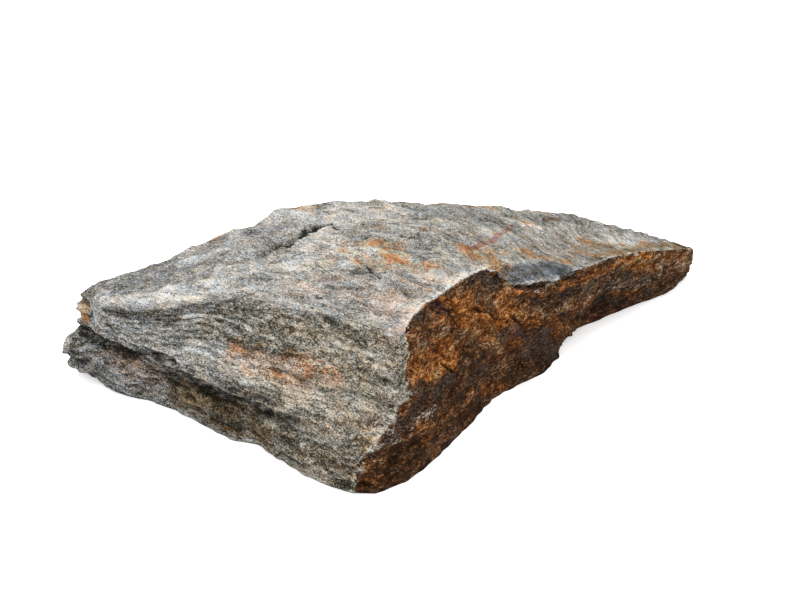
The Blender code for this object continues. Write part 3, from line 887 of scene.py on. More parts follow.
@dataclass
class SteppingStone:
    """The stone's fine surface: a sheet for the tread, rings for the sides, a sheet below.

    The three grids share their edges, so the surface is closed.  The lower sheet has half
    as many squares each way as the tread.
    """

    form: StoneForm = StoneForm()
    fine: FineForm = FineForm()
    view: StudioView = StudioView()
    corner_bearings: tuple[float, ...] = (188.0, 283.0, 382.0, 490.0, 548.0)
    lengthways: int = 172
    crossways: int = 200
    side_rings: tuple[int, ...] = (20, 16, 10, 12, 8)
    bed_share: float = 0.97
    edge_samples: int = 721
    foot_level: int = field(init=False)
    bearing: Array = field(init=False)
    turned: Array = field(init=False)
    level: Array = field(init=False)
    on_side: slice = field(init=False)
    points: Array = field(init=False)
    faces: list = field(init=False)
    tree: BVHTree = field(init=False)
    masks: dict[str, Array] = field(default_factory=dict)

    def side_bearings(self, first: float, last: float, count: int) -> Array:
        """Space bearings from one corner to the next.

        Args:
            first: bearing of the first corner, in degrees.
            last: bearing of the next corner.
            count: how many steps there are between them.

        Returns:
            Bearings in radians, whose steps are even along a line half way between the
            crest and the foot.
        """
        crest, *_, foot = self.form.lines()
        turn = np.radians(np.linspace(first, last, self.edge_samples))
        reach = 0.5 * sum(self.form.reach_and_height(line, turn)[0] for line in (crest, foot))
        steps = np.hypot(*np.diff(reach[:, None] * outward(turn), axis=0).T)
        gone = np.concatenate(((0.0,), np.cumsum(steps)))
        return np.interp(np.linspace(0.0, gone[-1], count + 1), gone, turn)

    def sheet(self, lengthways: int, crossways: int) -> tuple[Array, Array]:
        """Lay a square sheet out in bearing and ring.

        Args:
            lengthways: squares along the front and the back.
            crossways: squares along the two ends.

        Returns:
            The bearing of each vertex, and its ring: 0 in the middle, 1 at the edge.  A
            ring is a square round the middle, followed as the stone's edge is.
        """
        grid = np.meshgrid(np.linspace(-1, 1, lengthways + 1), np.linspace(-1, 1, crossways + 1))
        across, up = (table.ravel() for table in grid)
        ring = np.maximum(np.abs(across), np.abs(up))
        safe = np.where(ring > 0.0, ring, 1.0)
        right = (across / safe + 1.0) / 2.0
        back = (up / safe + 1.0) / 2.0
        gone = np.select((up <= -ring, across >= ring, up >= ring),
                         (right, 1.0 + back, 3.0 - right), 4.0 - back)
        corners = self.corner_bearings
        counts = (lengthways, crossways, lengthways, crossways)
        sides = [self.side_bearings(*turn) for turn in zip(corners, corners[1:], counts)]
        place = [side + np.linspace(0, 1, count + 1) for side, count in enumerate(counts)]
        return np.interp(gone, np.concatenate(place), np.concatenate(sides)), ring

    def lay_out(self) -> None:
        """Give every vertex its bearing and level, and join the three grids."""
        bearing, ring = self.sheet(self.lengthways, self.crossways)
        index = np.arange(len(ring)).reshape(self.crossways + 1, self.lengthways + 1)
        loop = sheet_edge(index)
        levels = np.concatenate([line + 1 + np.arange(1, count + 1) / count
                                 for line, count in enumerate(self.side_rings)])
        rings = len(ring) + np.arange(len(levels) * len(loop)).reshape(len(levels), len(loop))
        rings = np.vstack((loop, rings))
        closed = np.column_stack((rings, rings[:, 0]))

        bed_bearing, bed_ring = self.sheet(self.lengthways // 2, self.crossways // 2)
        below = rings[-1, -1] + 1 + np.arange(len(bed_ring)).reshape(self.crossways // 2 + 1, -1)
        inner = sheet_edge(below)
        inner_next = np.roll(inner, -1)
        first, middle = rings[-1][0::2], rings[-1][1::2]
        seam = np.vstack((np.column_stack((first, inner, middle)),
                          np.column_stack((middle, inner, inner_next)),
                          np.column_stack((middle, inner_next, np.roll(first, -1)))))
        sides = sheet_faces(closed)[:, ::-1]
        self.faces = [face for group in (sheet_faces(index), np.roll(sides, 1, axis=1), seam,
                                         sheet_faces(below)[:, ::-1]) for face in group.tolist()]
        self.bearing = np.concatenate((bearing, np.tile(bearing[loop], len(levels)), bed_bearing))
        self.foot_level = len(self.side_rings) + 1
        self.level = np.concatenate((ring, np.repeat(levels, len(loop)),
                                     self.foot_level + 1 - self.bed_share * bed_ring))
        self.turned = half_turned(self.bearing)
        self.on_side = slice(len(ring), rings[-1, -1] + 1)

    def normals(self) -> Array:
        """Work out the normal of each vertex.

        Returns:
            The sum of the normals of the faces round it, each as long as its face is large,
            brought to a length of one.
        """
        total = np.zeros_like(self.points)
        for sides in (3, 4):
            faces = np.array([face for face in self.faces if len(face) == sides])
            corner = self.points[faces]
            normal = np.cross(corner[:, 2] - corner[:, 0], corner[:, -1] - corner[:, 1])
            for place in range(sides):
                np.add.at(total, faces[:, place], normal)
        return total / np.maximum(np.linalg.norm(total, axis=1), TINY)[:, None]

    def seat(self, low: Array, high: Array) -> None:
        """Stretch and move the points so that they just fill the solid's box.

        Args:
            low: the box's lower corner.
            high: its upper corner.
        """
        own_low = self.points.min(axis=0)
        scale = (high - low) / (self.points.max(axis=0) - own_low)
        self.points = low + (self.points - own_low) * scale

    def bed_heights(self) -> None:
        """Set the foot's and the bed's heights: flat, with shallow hollows that open up."""
        height, size, seed = self.fine.foot_rise
        rise = height * np.clip(lumpiness(self.points / size, seed), 0.0, 1.0)
        hollow = np.clip(summed_noise(self.points, *self.fine.bed_lumps), 0.0, 1.0)
        high = np.where(self.level >= self.foot_level, rise, self.points[:, 2])
        on_bed = self.level > self.foot_level
        self.points[:, 2] = np.where(on_bed, self.fine.bed_hollow * hollow, high)

    def seen_points(self, path: tuple[Pixel, ...]) -> Array:
        """Drop a path seen from the studio view onto the stone, in millimetres.

        Args:
            path: pixels of the image.

        Returns:
            The points where the rays meet the stone; a ray that passes it by is left out.
        """
        eye = self.view.position()
        hits = [self.tree.ray_cast(eye, self.view.ray(pixel))[0] for pixel in path]
        return np.array([hit[:] for hit in hits if hit is not None]) / MM

    def wandering(self, bends: Noise) -> Array:
        """Give the points moved about, so that strokes drawn on them wander.

        Args:
            bends: how far they move at most, the size of a bend and the noise's number.

        Returns:
            The points, each moved along the three axes by three noises.
        """
        reach, size, seed = bends
        moved = [lumpiness(self.points / size, seed + axis) for axis in range(3)]
        return self.points + reach * np.stack(moved, axis=1)

    def find_broken_face(self) -> None:
        """Measure how far each vertex lies inside the broken face, in millimetres.

        It is the smaller of two lengths: down from the crest, and round from the near
        corner's edge, along the bearing.  Behind the tip the second falls off with the
        bearing and is left to noise that runs along the layers, so that the brown rock
        frays out there into lenses.
        """
        fine = self.fine
        side = self.points[self.on_side].reshape(sum(self.side_rings), -1, 3)
        down = np.cumsum(np.linalg.norm(np.diff(side, axis=0), axis=2), axis=0)
        down = fine.crest_depth + np.vstack((np.zeros(side.shape[1]), down)).ravel()
        reach = np.hypot(*(self.points[:, :2] - PLAN_CENTRE).T)
        inward = reach * (1.0 / np.maximum(self.level, 0.01) - 1.0)
        below_crest = np.where(self.level > 1.0, down.max(), -inward)
        below_crest[self.on_side] = down

        edge = self.seen_points(CORNER_EDGE)
        edge = edge[np.argsort(edge[:, 2])]
        edge_bearing = np.arctan2(*(edge[:, 1::-1] - PLAN_CENTRE[::-1]).T)
        past_seam = self.turned < math.radians(fine.seam_turn)
        turned = np.where(past_seam, self.turned + math.tau, self.turned)
        along = (turned - np.interp(self.points[:, 2], edge[:, 2], edge_bearing)) * reach
        back = swing(turned, *fine.back_turn)
        frayed = fine.fray_start - fine.fray_fall * swing(turned, *fine.fray_turn)
        frayed += summed_noise(self.form.banding.read(self.points), *fine.fray)
        along = along * (1.0 - back) + frayed * back
        left = swing(turned, *fine.left_turn)
        along = along * (1.0 - left) - fine.left_gap * left
        below_crest -= fine.tip_drop * swing(turned, *fine.tip_turn)
        self.masks["broken"] = np.minimum(below_crest, along)
        self.masks["behind"] = back

    def find_marks(self) -> None:
        """Work out how strongly each tint marks each vertex, from 0 to 1.

        A mark is full within a third of its width and fades out, by the smooth ease, at
        its width and a third.
        """
        brown = smooth(self.masks["broken"], *self.fine.mark_blend)
        drawn_on = self.wandering(self.fine.mark_bends)
        for tint in Tint:
            bare = np.ones(len(self.points))
            for marks, share in ((MARKS, 1.0 - brown), (BROKEN_MARKS, brown)):
                for mark in marks.get(tint, ()):
                    away = stroke_distance(drawn_on, self.seen_points(mark.path)) / mark.width
                    amount = mark.strength * (1.0 - smooth(away, *self.fine.mark_fade))
                    bare *= 1.0 - amount * share
            self.masks[tint.value] = 1.0 - bare

    def fine_relief(self) -> tuple[Array, Array]:
        """How far the fine surface stands out of the solid's form, in millimetres.

        On the weathered rock it is soft waves, the edges of thin laminae and the grain.
        On the broken face it is facets of three sizes, whose edges are sharp, the edges of
        thicker layers, and grain.

        Returns:
            One length to a vertex, along its normal, and the share of it that is finest.
        """
        fine = self.fine
        banded = self.form.banding.read(self.points)
        side = smooth(self.level, *fine.side_levels)
        waves = summed_noise(banded, fine.wave) + (1.0 + side) * summed_noise(banded, fine.ripple)
        lamina = banded[:, 2] / fine.lamina + summed_noise(banded, *fine.lamina_wander)
        edges = stepped(lamina, fine.lamina_sharpness) - lamina
        edges *= fine.lamina * (fine.lamina_edge + fine.lamina_side_edge * side)
        grain = (1.0 + fine.side_grain * side) * summed_noise(banded, *fine.grain)
        weathered = waves + edges + grain

        hackle, *chips = (height * facets(banded / size, seed, tilt)
                          for height, size, seed, tilt in (fine.hackle, *fine.chips))
        layer = banded[:, 2] / fine.split + summed_noise(banded, *fine.split_wander)
        chips = sum(chips) + fine.split_edge * (stepped(layer, fine.split_sharpness) - layer)
        hackle = (hackle + chips) * (1.0 - fine.tip_calm * smooth(self.points[:, 0], *fine.tip))
        brown = smooth(self.masks["broken"], *fine.brown_blend)
        rough, finest = (weathered * (1.0 - brown) + (part + fine.broken_grain * grain) * brown
                         for part in (hackle - hackle.mean(),
                                      fine.chip_share * (chips - chips.mean())))
        near_crest = np.clip(1.0 - np.abs(self.level - 1.0) / fine.crest_levels, 0.0, 1.0)
        return rough * (1.0 - fine.crest_calm * near_crest), finest

    def carved(self, carvings: tuple[Stroke, ...], sharp: bool = False) -> Array:
        """Add up how deep the carvings cut at each vertex.

        The path wanders, and the distance to it is made ragged, by noise.  The depth fades
        from the path to the width and a third: straight where the carving is sharp, else
        by the smooth ease.

        Args:
            carvings: the carvings.
            sharp: whether their flanks are straight and meet on the path.

        Returns:
            The depth in millimetres, less than nothing where the rock stands out.
        """
        depth = np.zeros(len(self.points))
        ragged = 1.0 + summed_noise(self.points, *self.fine.ragged)
        drawn_on = self.wandering(self.fine.carving_bends)
        for carving in carvings:
            away = stroke_distance(drawn_on, self.seen_points(carving.path)) * ragged
            share = np.clip(1.0 - away / (self.fine.carving_reach * carving.width), 0.0, 1.0)
            eased = smooth(share, 0.0, self.fine.carving_full)
            depth += carving.strength * (share if sharp else eased)
        return depth

    def chipped_rim(self) -> Array:
        """Chip the rim of the broken face.

        Returns:
            How deep each vertex is chipped, in millimetres: what noise of two sizes has
            above its rest, within 12 mm of the rim.
        """
        near = 1.0 - smooth(np.abs(self.masks["broken"]), *self.fine.rim_reach)
        near *= 1.0 - swing(self.turned, *self.fine.rim_turn)
        chips = summed_noise(self.points, *self.fine.rim_chips) - self.fine.rim_rest
        return self.fine.rim_depth * near * np.clip(chips, 0.0, self.fine.rim_most)

    def ragged_outline(self) -> None:
        """Roughen the sides where they come down to the foot, and splinter the left end.

        The points move out along their bearings: by noise on the lower sides, less in the
        bays of the front's foot, each a bell curve about its own place, and at the
        left end and the back by one random length to each layer of the banding.
        """
        fine = self.fine
        low = smooth(self.level, *fine.foot_levels)
        out = low * (fine.foot_spread + summed_noise(self.points, *fine.foot_lumps))
        front = low * (self.points[:, 1] < 0.0)
        for east, half, depth in fine.foot_bays:
            out -= depth * front * np.exp(-((self.points[:, 0] - east) / half) ** 2)
        banded = self.form.banding.read(self.points)
        slab, splinter, ledge = (
            stepped(banded[:, 2] / thickness + summed_noise(banded, wander), sharpness)
            for thickness, wander, sharpness in (fine.slabs, fine.splinters, fine.ledges))
        left = smooth(-self.points[:, 0], *fine.left_end) * smooth(self.level, *fine.left_levels)
        out += left * (leaf_noise(banded, slab, fine.slab_length) - fine.slab_rest)
        left *= smooth(self.level, *fine.splinter_levels)
        out += left * leaf_noise(banded, splinter, fine.splinter_length)
        start, end = fine.ledge_turns
        back = swing(self.turned, *start) * (1.0 - swing(self.turned, *end))
        length = leaf_noise(banded, ledge, fine.ledge_length)
        length += leaf_noise(banded, 2.0 * ledge, fine.half_ledge_length)
        out += back * smooth(self.level, *fine.ledge_levels) * length
        self.points[:, :2] += out[:, None] * outward(self.bearing)

    def build(self) -> bpy.types.Object:
        """Work out the whole surface and put it into a mesh.

        Returns:
            The stone's object, at the origin, with its masks as vertex attributes.
        """
        fine = self.fine
        low, high = (np.array(corner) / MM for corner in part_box(NODE))
        self.lay_out()
        self.points = self.form.points(self.bearing, self.level)
        self.seat(low, high)
        self.ragged_outline()
        self.bed_heights()
        self.tree = BVHTree.FromPolygons((self.points * MM).tolist(), self.faces)
        self.find_broken_face()
        self.find_marks()
        chipped = self.chipped_rim()
        self.masks["broken"] += fine.rim_inset * chipped
        relief, finest = self.fine_relief()
        opened = self.carved(CRACKS)
        shaped = self.carved(GROOVES) + self.carved(RIDGES, sharp=True)
        off_bed = 1.0 - smooth(self.level, *fine.bed_levels)
        self.points += self.normals() * ((relief - opened - shaped - chipped) * off_bed)[:, None]
        self.points = np.clip(self.points, low, high)
        east, _, up = self.points.T
        side = smooth(self.level, *fine.edge_levels)
        # Painted shade: hollows and open cracks painted darker, what stands out painted lighter.
        shade = 0.5 + fine.relief_shade * finest - fine.crack_shade * opened
        warmth = fine.warm_tread + (1.0 - fine.warm_tread) * side
        self.masks |= {
            "painted_relief_shade": np.clip(shade, 0.0, 1.0),
            # Painted shade: the open cracks are also painted almost black.
            "crack": np.clip(opened / fine.crack_depth, 0.0, 1.0),
            "side": side,
            "warm": smooth(east, *fine.warm_east) * warmth,
            "brushed": smooth(east, *fine.brushed_east) * (1.0 - side),
            # Painted shade at the foot: darker towards the floor.
            "low": 1.0 - smooth(up, *fine.low_heights),
            # Painted shade on the steep facet below the arris of the broken face.
            "painted_shade_below_arris": smooth(self.level, *fine.arris_levels),
        }
        mesh = bpy.data.meshes.new("gneiss_stone")
        mesh.from_pydata((self.points * MM).tolist(), [], self.faces)
        for name, values in self.masks.items():
            attribute = mesh.attributes.new(name, "FLOAT", "POINT")
            attribute.data.foreach_set("value", values.astype(np.float32))
        mesh.shade_smooth()
        mesh.update()
        return placed("gneiss_stone", mesh)


# ---------------------------------------------------------------- finishes

@dataclass(frozen=True)
class Pattern:
    """Noise that follows the layers.

    The size of a lump runs along the strike, up the dip and through the layers, in
    millimetres.  Detail is how many finer octaves are added, roughness how strong each
    finer octave is, and warp how far the pattern is bent by itself.
    """

    size: Size
    detail: float = 2.0
    roughness: float = 0.55
    warp: float = 0.0


PATTERNS = {
    "rods": Pattern((12.0, 2.2, 1.6)),
    "brush": Pattern((26.0, 3.0, 2.2), 3.0, 0.6),
    "streaks": Pattern((34.0, 18.0, 5.0), 3.0, 0.6, 0.4),
    "bands": Pattern((150.0, 70.0, 9.0), 4.0, 0.62, 0.3),
    "clouds": Pattern((90.0, 90.0, 60.0)),
    "lumps": Pattern((11.0, 7.0, 4.0), 5.0, 0.62, 0.3),
    "cracking": Pattern((60.0, 26.0, 9.0), 6.0, 0.66, 0.3),
    "patchy": Pattern((20.0, 14.0, 10.0), 5.0, 0.68, 0.5),
    "crumbs": Pattern((3.4, 2.4, 2.0)),
    "blotches": Pattern((30.0, 22.0, 16.0), 6.0, 0.62, 0.6),
    "layers": Pattern((16.0, 40.0, 3.0), 3.0, 0.6, 0.4),
    "creasing": Pattern((24.0, 60.0, 13.0), 6.0, 0.62, 0.5),
    "patches": Pattern((17.0, 26.0, 11.0), 4.0, 0.65, 0.5),
    "slate": Pattern((30.0, 24.0, 14.0), 5.0, 0.6),
    "fibres": Pattern((3.0, 18.0, 0.9)),
    "ragged": Pattern((9.0, 6.0, 4.0), 5.0, 0.78),
    "relief": Pattern((4.6, 3.0, 2.2), 4.0, 0.7),
}
# Kinds of mineral grain and flake, by their size in millimetres.
CELLS = {
    "grain": (1.7, 1.3, 1.1),
    "fleck": (1.1, 0.9, 0.8),
    "crumb": (2.2, 4.2, 1.6),
    "speck": (1.2, 1.9, 1.0),
    "flake": (6.0, 11.0, 3.4),
    "scale": (2.6, 4.4, 1.8),
}


@dataclass(frozen=True)
class GreyGneiss:
    """The weathered rock: its minerals from dark mica to quartz, and what tints them."""

    minerals: tuple = (
        (0.20, (0.024, 0.023, 0.019)),
        (0.37, (0.078, 0.076, 0.067)),
        (0.53, (0.182, 0.181, 0.174)),
        (0.68, (0.315, 0.312, 0.300)),
        (0.92, (0.620, 0.615, 0.600)),
    )
    warmth: Colour = (1.060, 0.965, 0.820)
    cool_grain: Colour = (0.90, 0.99, 1.08)
    warm_grain: Colour = (1.10, 1.00, 0.90)
    cool_patch: Colour = (0.95, 1.00, 1.05)
    warm_patch: Colour = (1.06, 0.99, 0.90)
    roughness: Pair = (0.68, 0.92)
    gloss: float = 0.04


@dataclass(frozen=True)
class Staining:
    """Tints that multiply the grey rock's colour, and the crust that hides it.

    A layer has the tint's name and colour, where it begins, where it is full, and how much
    of it shows there.
    """

    layers: tuple = (
        ("blue", (0.600, 0.640, 0.730), 0.25, 0.75, 1.0),
        ("rose", (1.100, 0.950, 0.900), 0.25, 0.75, 1.0),
        ("soil", (0.620, 0.490, 0.330), 0.25, 0.85, 1.0),
        ("vein", (0.800, 0.470, 0.410), 0.4, 0.8, 0.8),
    )
    rust: Colour = (1.080, 0.680, 0.450)
    ochre: Colour = (1.000, 0.860, 0.620)
    crust: Colour = (0.280, 0.105, 0.030)


@dataclass(frozen=True)
class BrownFace:
    """The iron-stained broken face: from its black hollows to its ochre flecks."""

    irons: tuple = (
        (0.18, (0.017, 0.009, 0.004)),
        (0.36, (0.040, 0.019, 0.009)),
        (0.50, (0.068, 0.031, 0.013)),
        (0.64, (0.152, 0.073, 0.031)),
        (0.80, (0.258, 0.140, 0.070)),
        (1.00, (0.480, 0.345, 0.225)),
    )
    richness: Colour = (0.98, 0.855, 0.63)
    red_grain: Colour = (1.08, 0.90, 0.80)
    pale_grain: Colour = (0.97, 1.06, 1.04)
    red_patch: Colour = (1.12, 0.88, 0.64)
    dull_patch: Colour = (0.90, 1.02, 1.17)
    slate: Colour = (0.047, 0.033, 0.026)
    fibre: Colour = (0.420, 0.370, 0.300)


class NodeBench:
    """Puts a material's nodes together, one method to a kind of node.

    A socket is fed with a number, a colour, an output, or the name of a pattern, of a kind
    of grain, of something made before or of one of the stone's vertex attributes.
    """

    def __init__(self, name: str, banding: Banding) -> None:
        """Start a material and put every pattern and kind of grain on the bench.

        Args:
            name: the material's name.
            banding: the layers that the patterns turn with.
        """
        self.material = bpy.data.materials.new(name)
        self.material.use_nodes = True
        self.tree = self.material.node_tree
        self.shader = self.tree.nodes["Principled BSDF"]
        self.place = self.tree.nodes.new("ShaderNodeTexCoord").outputs["Object"]
        self.turn = Matrix(banding.axes().T.tolist()).to_euler()
        self.made = {kind: self.noise(pattern) for kind, pattern in PATTERNS.items()}
        for kind, size in CELLS.items():
            self.made |= self.cells(kind, size)

    def feed(self, socket: object, source: object) -> None:
        """Feed a socket.

        Args:
            socket: the socket.
            source: a number, a colour, an output or a name, as the class describes them.
        """
        if isinstance(source, str):
            if source not in self.made:
                self.made[source] = self.node("Attribute", {}, "Fac", attribute_name=source)
            source = self.made[source]
        if isinstance(source, bpy.types.NodeSocket):
            self.tree.links.new(source, socket)
        else:
            socket.default_value = (*source, 1.0) if isinstance(source, tuple) else source

    def node(self, kind: str, inputs: dict, output: object = 0, **settings: object) -> object:
        """Add a node.

        Args:
            kind: the node's type, by Blender's own name.
            inputs: what its sockets are fed with.
            output: name or number of the output that is wanted.
            settings: the node's own settings.

        Returns:
            That output.
        """
        node = self.tree.nodes.new("ShaderNode" + kind)
        for name, value in settings.items():
            setattr(node, name, value)
        for name, source in inputs.items():
            self.feed(node.inputs[name], source)
        return node.outputs[output]

    def banded(self, size: Size) -> object:
        """Turn Object coordinates to the banding and scale them.

        Args:
            size: what makes one unit along each of the banding's axes, in millimetres.

        Returns:
            The output with the coordinates.
        """
        scale = [side * MM for side in size]
        inputs = {"Rotation": self.turn, "Scale": scale, "Vector": self.place}
        return self.node("Mapping", inputs, "Vector", vector_type="TEXTURE")

    def noise(self, pattern: Pattern) -> object:
        """Add smooth noise about 0.5.

        Args:
            pattern: its size and character.

        Returns:
            The output with its value.
        """
        inputs = {"Vector": self.banded(pattern.size), "Scale": 1.0, "Detail": pattern.detail,
                  "Roughness": pattern.roughness, "Distortion": pattern.warp}
        return self.node("TexNoise", inputs, "Fac")

    def cells(self, name: str, size: Size) -> dict[str, object]:
        """Add mineral grains or flakes.

        Args:
            name: what they are called.
            size: their size, in millimetres.

        Returns:
            Outputs under that name and its endings: a random value to a grain, a second one
            for its hue, and how far away the grain's middle is.
        """
        colour = self.node("TexVoronoi", {"Vector": self.banded(size), "Scale": 1.0}, "Color")
        split = self.node("SeparateColor", {"Color": colour}, "Red").node
        return {name: split.outputs["Red"], name + "_hue": split.outputs["Green"],
                name + "_away": colour.node.outputs["Distance"]}

    def tone(self, middle: float, patterns: dict, marks: dict) -> object:
        """Mix patterns and marks into one tone.

        Args:
            middle: the tone where every pattern is at its mean and nothing is marked.
            patterns: what has a mean of a half, each with its weight.
            marks: what is nothing where nothing is marked, each with its weight.

        Returns:
            The output with the sum.
        """
        total = middle - 0.5 * sum(patterns.values())
        for source, weight in (patterns | marks).items():
            total = self.node("Math", {0: source, 1: weight, 2: total}, operation="MULTIPLY_ADD")
        return total

    def product(self, first: object, second: object) -> object:
        """Multiply two outputs."""
        return self.node("Math", {0: first, 1: second}, operation="MULTIPLY")

    def seam(self, pattern: str, half: float) -> object:
        """One where a pattern crosses its middle, nothing where it is further off than half."""
        away = self.node("Math", {0: self.tone(0.0, {pattern: 1.0}, {})}, operation="ABSOLUTE")
        return self.ease(away, half, 0.0)

    def ease(self, value: object, low: float, high: float,
             to_low: float = 0.0, to_high: float = 1.0) -> object:
        """Map a value from one range to another.

        Args:
            value: what is mapped.
            low: where the first range begins.
            high: where it ends.
            to_low: where the second range begins.
            to_high: where it ends.

        Returns:
            The output, eased at both ends and held beyond them.
        """
        inputs = {"Value": value, "From Min": low, "From Max": high, "To Min": to_low,
                  "To Max": to_high}
        return self.node("MapRange", inputs, "Result", interpolation_type="SMOOTHSTEP")

    def ramp(self, value: object, stops: tuple[tuple[float, Colour], ...]) -> object:
        """Turn a value into a colour.

        Args:
            value: what picks the colour.
            stops: the values and their colours.

        Returns:
            The output with the colour, which runs straight from stop to stop.
        """
        output = self.node("ValToRGB", {"Fac": value}, "Color")
        elements = output.node.color_ramp.elements
        while len(elements) < len(stops):
            elements.new(0.5)
        for element, (position, colour) in zip(elements, stops):
            element.position = position
            element.color = (*colour, 1.0)
        return output

    def mix(self, share: object, under: object, over: object, blend: str = "MIX") -> object:
        """Lay a share of one colour over another, combined by Blender's own blend name."""
        inputs = {0: share, 6: under, 7: over}
        return self.node("Mix", inputs, 2, data_type="RGBA", blend_type=blend)

    def tinted(self, rock: object, tint: object, share: object = 1.0) -> object:
        """Multiply a share of a tint into the rock's colour."""
        return self.mix(share, rock, tint, "MULTIPLY")


@dataclass(frozen=True)
class StoneFinish:
    """The whole finish of the stone: grey gneiss, its stains and its brown broken face."""

    banding: Banding = Banding()
    grey: GreyGneiss = GreyGneiss()
    stains: Staining = Staining()
    face: BrownFace = BrownFace()

    def grey_rock(self, bench: NodeBench) -> object:
        """Colour the weathered rock.

        Each grain and each fleck has a random value.  Their sum, moved up and down by the
        rods, streaks and bands of the layering, the marks and the relief, picks the mineral.
        Painted shade darkens the hollows of the relief, the open cracks, the foot and a little
        the sides, and what stands out is painted lighter; some dark and pale marks are painted
        shadow and highlight.  The stains then multiply its colour.

        Args:
            bench: the material's nodes.

        Returns:
            The output with the rock's colour.
        """
        speckle = bench.tone(0.0, {"grain": 0.42, "fleck": 0.46, "rods": 0.26, "lumps": 0.36}, {})
        strength = bench.tone(0.68, {}, {"side": 0.20, "brushed": -0.20})
        bench.made |= {
            "speckle": bench.product(speckle, strength),
            "banding": bench.product(bench.tone(0.0, {"bands": 1.0}, {}),
                                     bench.tone(0.34, {}, {"side": 0.20})),
            "brushing": bench.product(bench.tone(0.0, {"brush": 1.0}, {}), "brushed"),
            "frost": bench.ease(bench.tone(0.0, {"rods": 9.0}, {"broken": 1.0}), -7.0, -2.0),
            # dark_patch and dark: the dark marks, partly painted shadow and shade, partly the
            # rock's own dark patches.
            "dark_patch": bench.ease(bench.tone(0.0, {"patchy": 0.9}, {"dark": 1.0}), 0.25, 0.55),
            # pale_patch and pale: the pale marks, partly painted highlight, partly pale rock.
            "pale_patch": bench.ease(bench.tone(0.0, {"patchy": 0.9}, {"pale": 1.0}), 0.25, 0.55),
            "halo": bench.product("behind", bench.ease("broken", -20.0, 4.0)),
        }
        # painted_relief_shade paints the relief's shade into the colour.
        tone = bench.tone(0.60, {"streaks": 0.35, "clouds": 0.22, "painted_relief_shade": 0.31}, {
            "speckle": 1.0, "banding": 1.0, "brushing": 0.55, "fissures": -0.22, "frost": 0.16,
            # side: the sides painted a little darker than the tread, painted shade.
            "pale": 0.10, "pale_patch": 0.08, "dark_patch": -0.10, "dark": -0.15, "side": -0.03,
            # low: painted shade, darker towards the foot.
            "low": -0.08, "brushed": 0.03})
        rock = bench.ramp(tone, self.grey.minerals)
        warm = bench.tone(0.0, {"clouds": 0.7}, {"warm": 1.0})
        rock = bench.tinted(rock, self.grey.warmth, bench.ease(warm, 0.0, 1.0))
        hue = bench.ease("patchy", 0.40, 0.60)
        rock = bench.tinted(rock, bench.mix(hue, self.grey.cool_patch, self.grey.warm_patch))
        # Painted shade: the inside of the open cracks is painted almost black.
        crack = bench.tone(0.0, {"crumbs": 1.6, "rods": 0.8}, {"crack": 1.0})
        rock = bench.mix(bench.ease(crack, 0.3, 0.8, 0.0, 0.93), rock, self.grey.minerals[0][1])

        worn = {"patchy": 1.5, "crumbs": 0.7}
        for name, colour, start, full, most in self.stains.layers:
            stain = bench.tone(0.0, worn, {name: 1.0})
            rock = bench.tinted(rock, colour, bench.ease(stain, start, full, 0.0, most))
        rust = bench.tone(0.0, worn, {"rust": 1.0, "halo": 0.85})
        tint = bench.mix(bench.ease("patchy", 0.42, 0.62), self.stains.ochre, self.stains.rust)
        rock = bench.tinted(rock, tint, bench.ease(rust, 0.26, 1.02))
        return bench.mix(bench.ease(rust, 0.82, 1.25, 0.0, 0.68), rock, self.stains.crust)

    def brown_rock(self, bench: NodeBench) -> object:
        """Colour the broken face: blotches of rust over umber, flecks, slate and fibres.

        Args:
            bench: the material's nodes.

        Returns:
            The output with the face's colour.
        """
        bench.made["crevices"] = bench.seam("creasing", 0.013)
        bench.made["rim"] = bench.ease("broken", 7.0, 0.0)
        tone = bench.tone(
            0.58, {"blotches": 0.74, "crumb": 0.37, "speck": 0.43, "layers": 0.48, "lumps": 0.54,
                   # painted_relief_shade: the relief's shade painted into the colour.
                   "painted_relief_shade": 0.37},
            # painted_shade_below_arris paints the steep lower facet darker.
            {"crevices": -0.20, "rust": 0.12, "dark": -0.13, "painted_shade_below_arris": -0.14, "rim": -0.08,
             # low: painted shade, darker towards the foot.
             "low": -0.05, "fissures": -0.12})
        rock = bench.ramp(tone, self.face.irons)
        # Painted shade: the inside of the open cracks is painted almost black.
        crack = bench.tone(0.0, {"blotches": 0.8, "crumb": 0.3}, {"crack": 1.0})
        rock = bench.mix(bench.ease(crack, 0.35, 0.8, 0.0, 0.9), rock, self.face.irons[0][1])
        hue = bench.mix("crumb_hue", self.face.red_grain, self.face.pale_grain)
        rock = bench.tinted(rock, hue)
        patch = bench.ease(bench.tone(0.0, {}, {"patches": 1.0, "rust": -0.12}), 0.35, 0.57)
        rock = bench.tinted(rock, bench.mix(patch, self.face.red_patch, self.face.dull_patch))
        rich = bench.tone(0.0, {"blotches": 0.8}, {"rust": 1.0})
        rock = bench.tinted(rock, self.face.richness, bench.ease(rich, 0.2, 0.9))
        # Dark marks here and in the tone above: slate of the rock's own colour, and painted shadow
        # below the bench.
        slate = bench.tone(0.0, {"slate": 1.6, "crumb": 0.3}, {"dark": 0.55})
        slate_rock = bench.tinted(self.face.slate, bench.ease("speck", 0.0, 1.0, 0.1, 2.2))
        rock = bench.mix(bench.ease(slate, 0.22, 0.50, 0.0, 0.7), rock, slate_rock)
        fibre = bench.tone(0.0, {"fibres": 1.9, "speck": 0.3}, {"pale": 0.5})
        return bench.mix(bench.ease(fibre, 0.42, 0.72), rock, self.face.fibre)

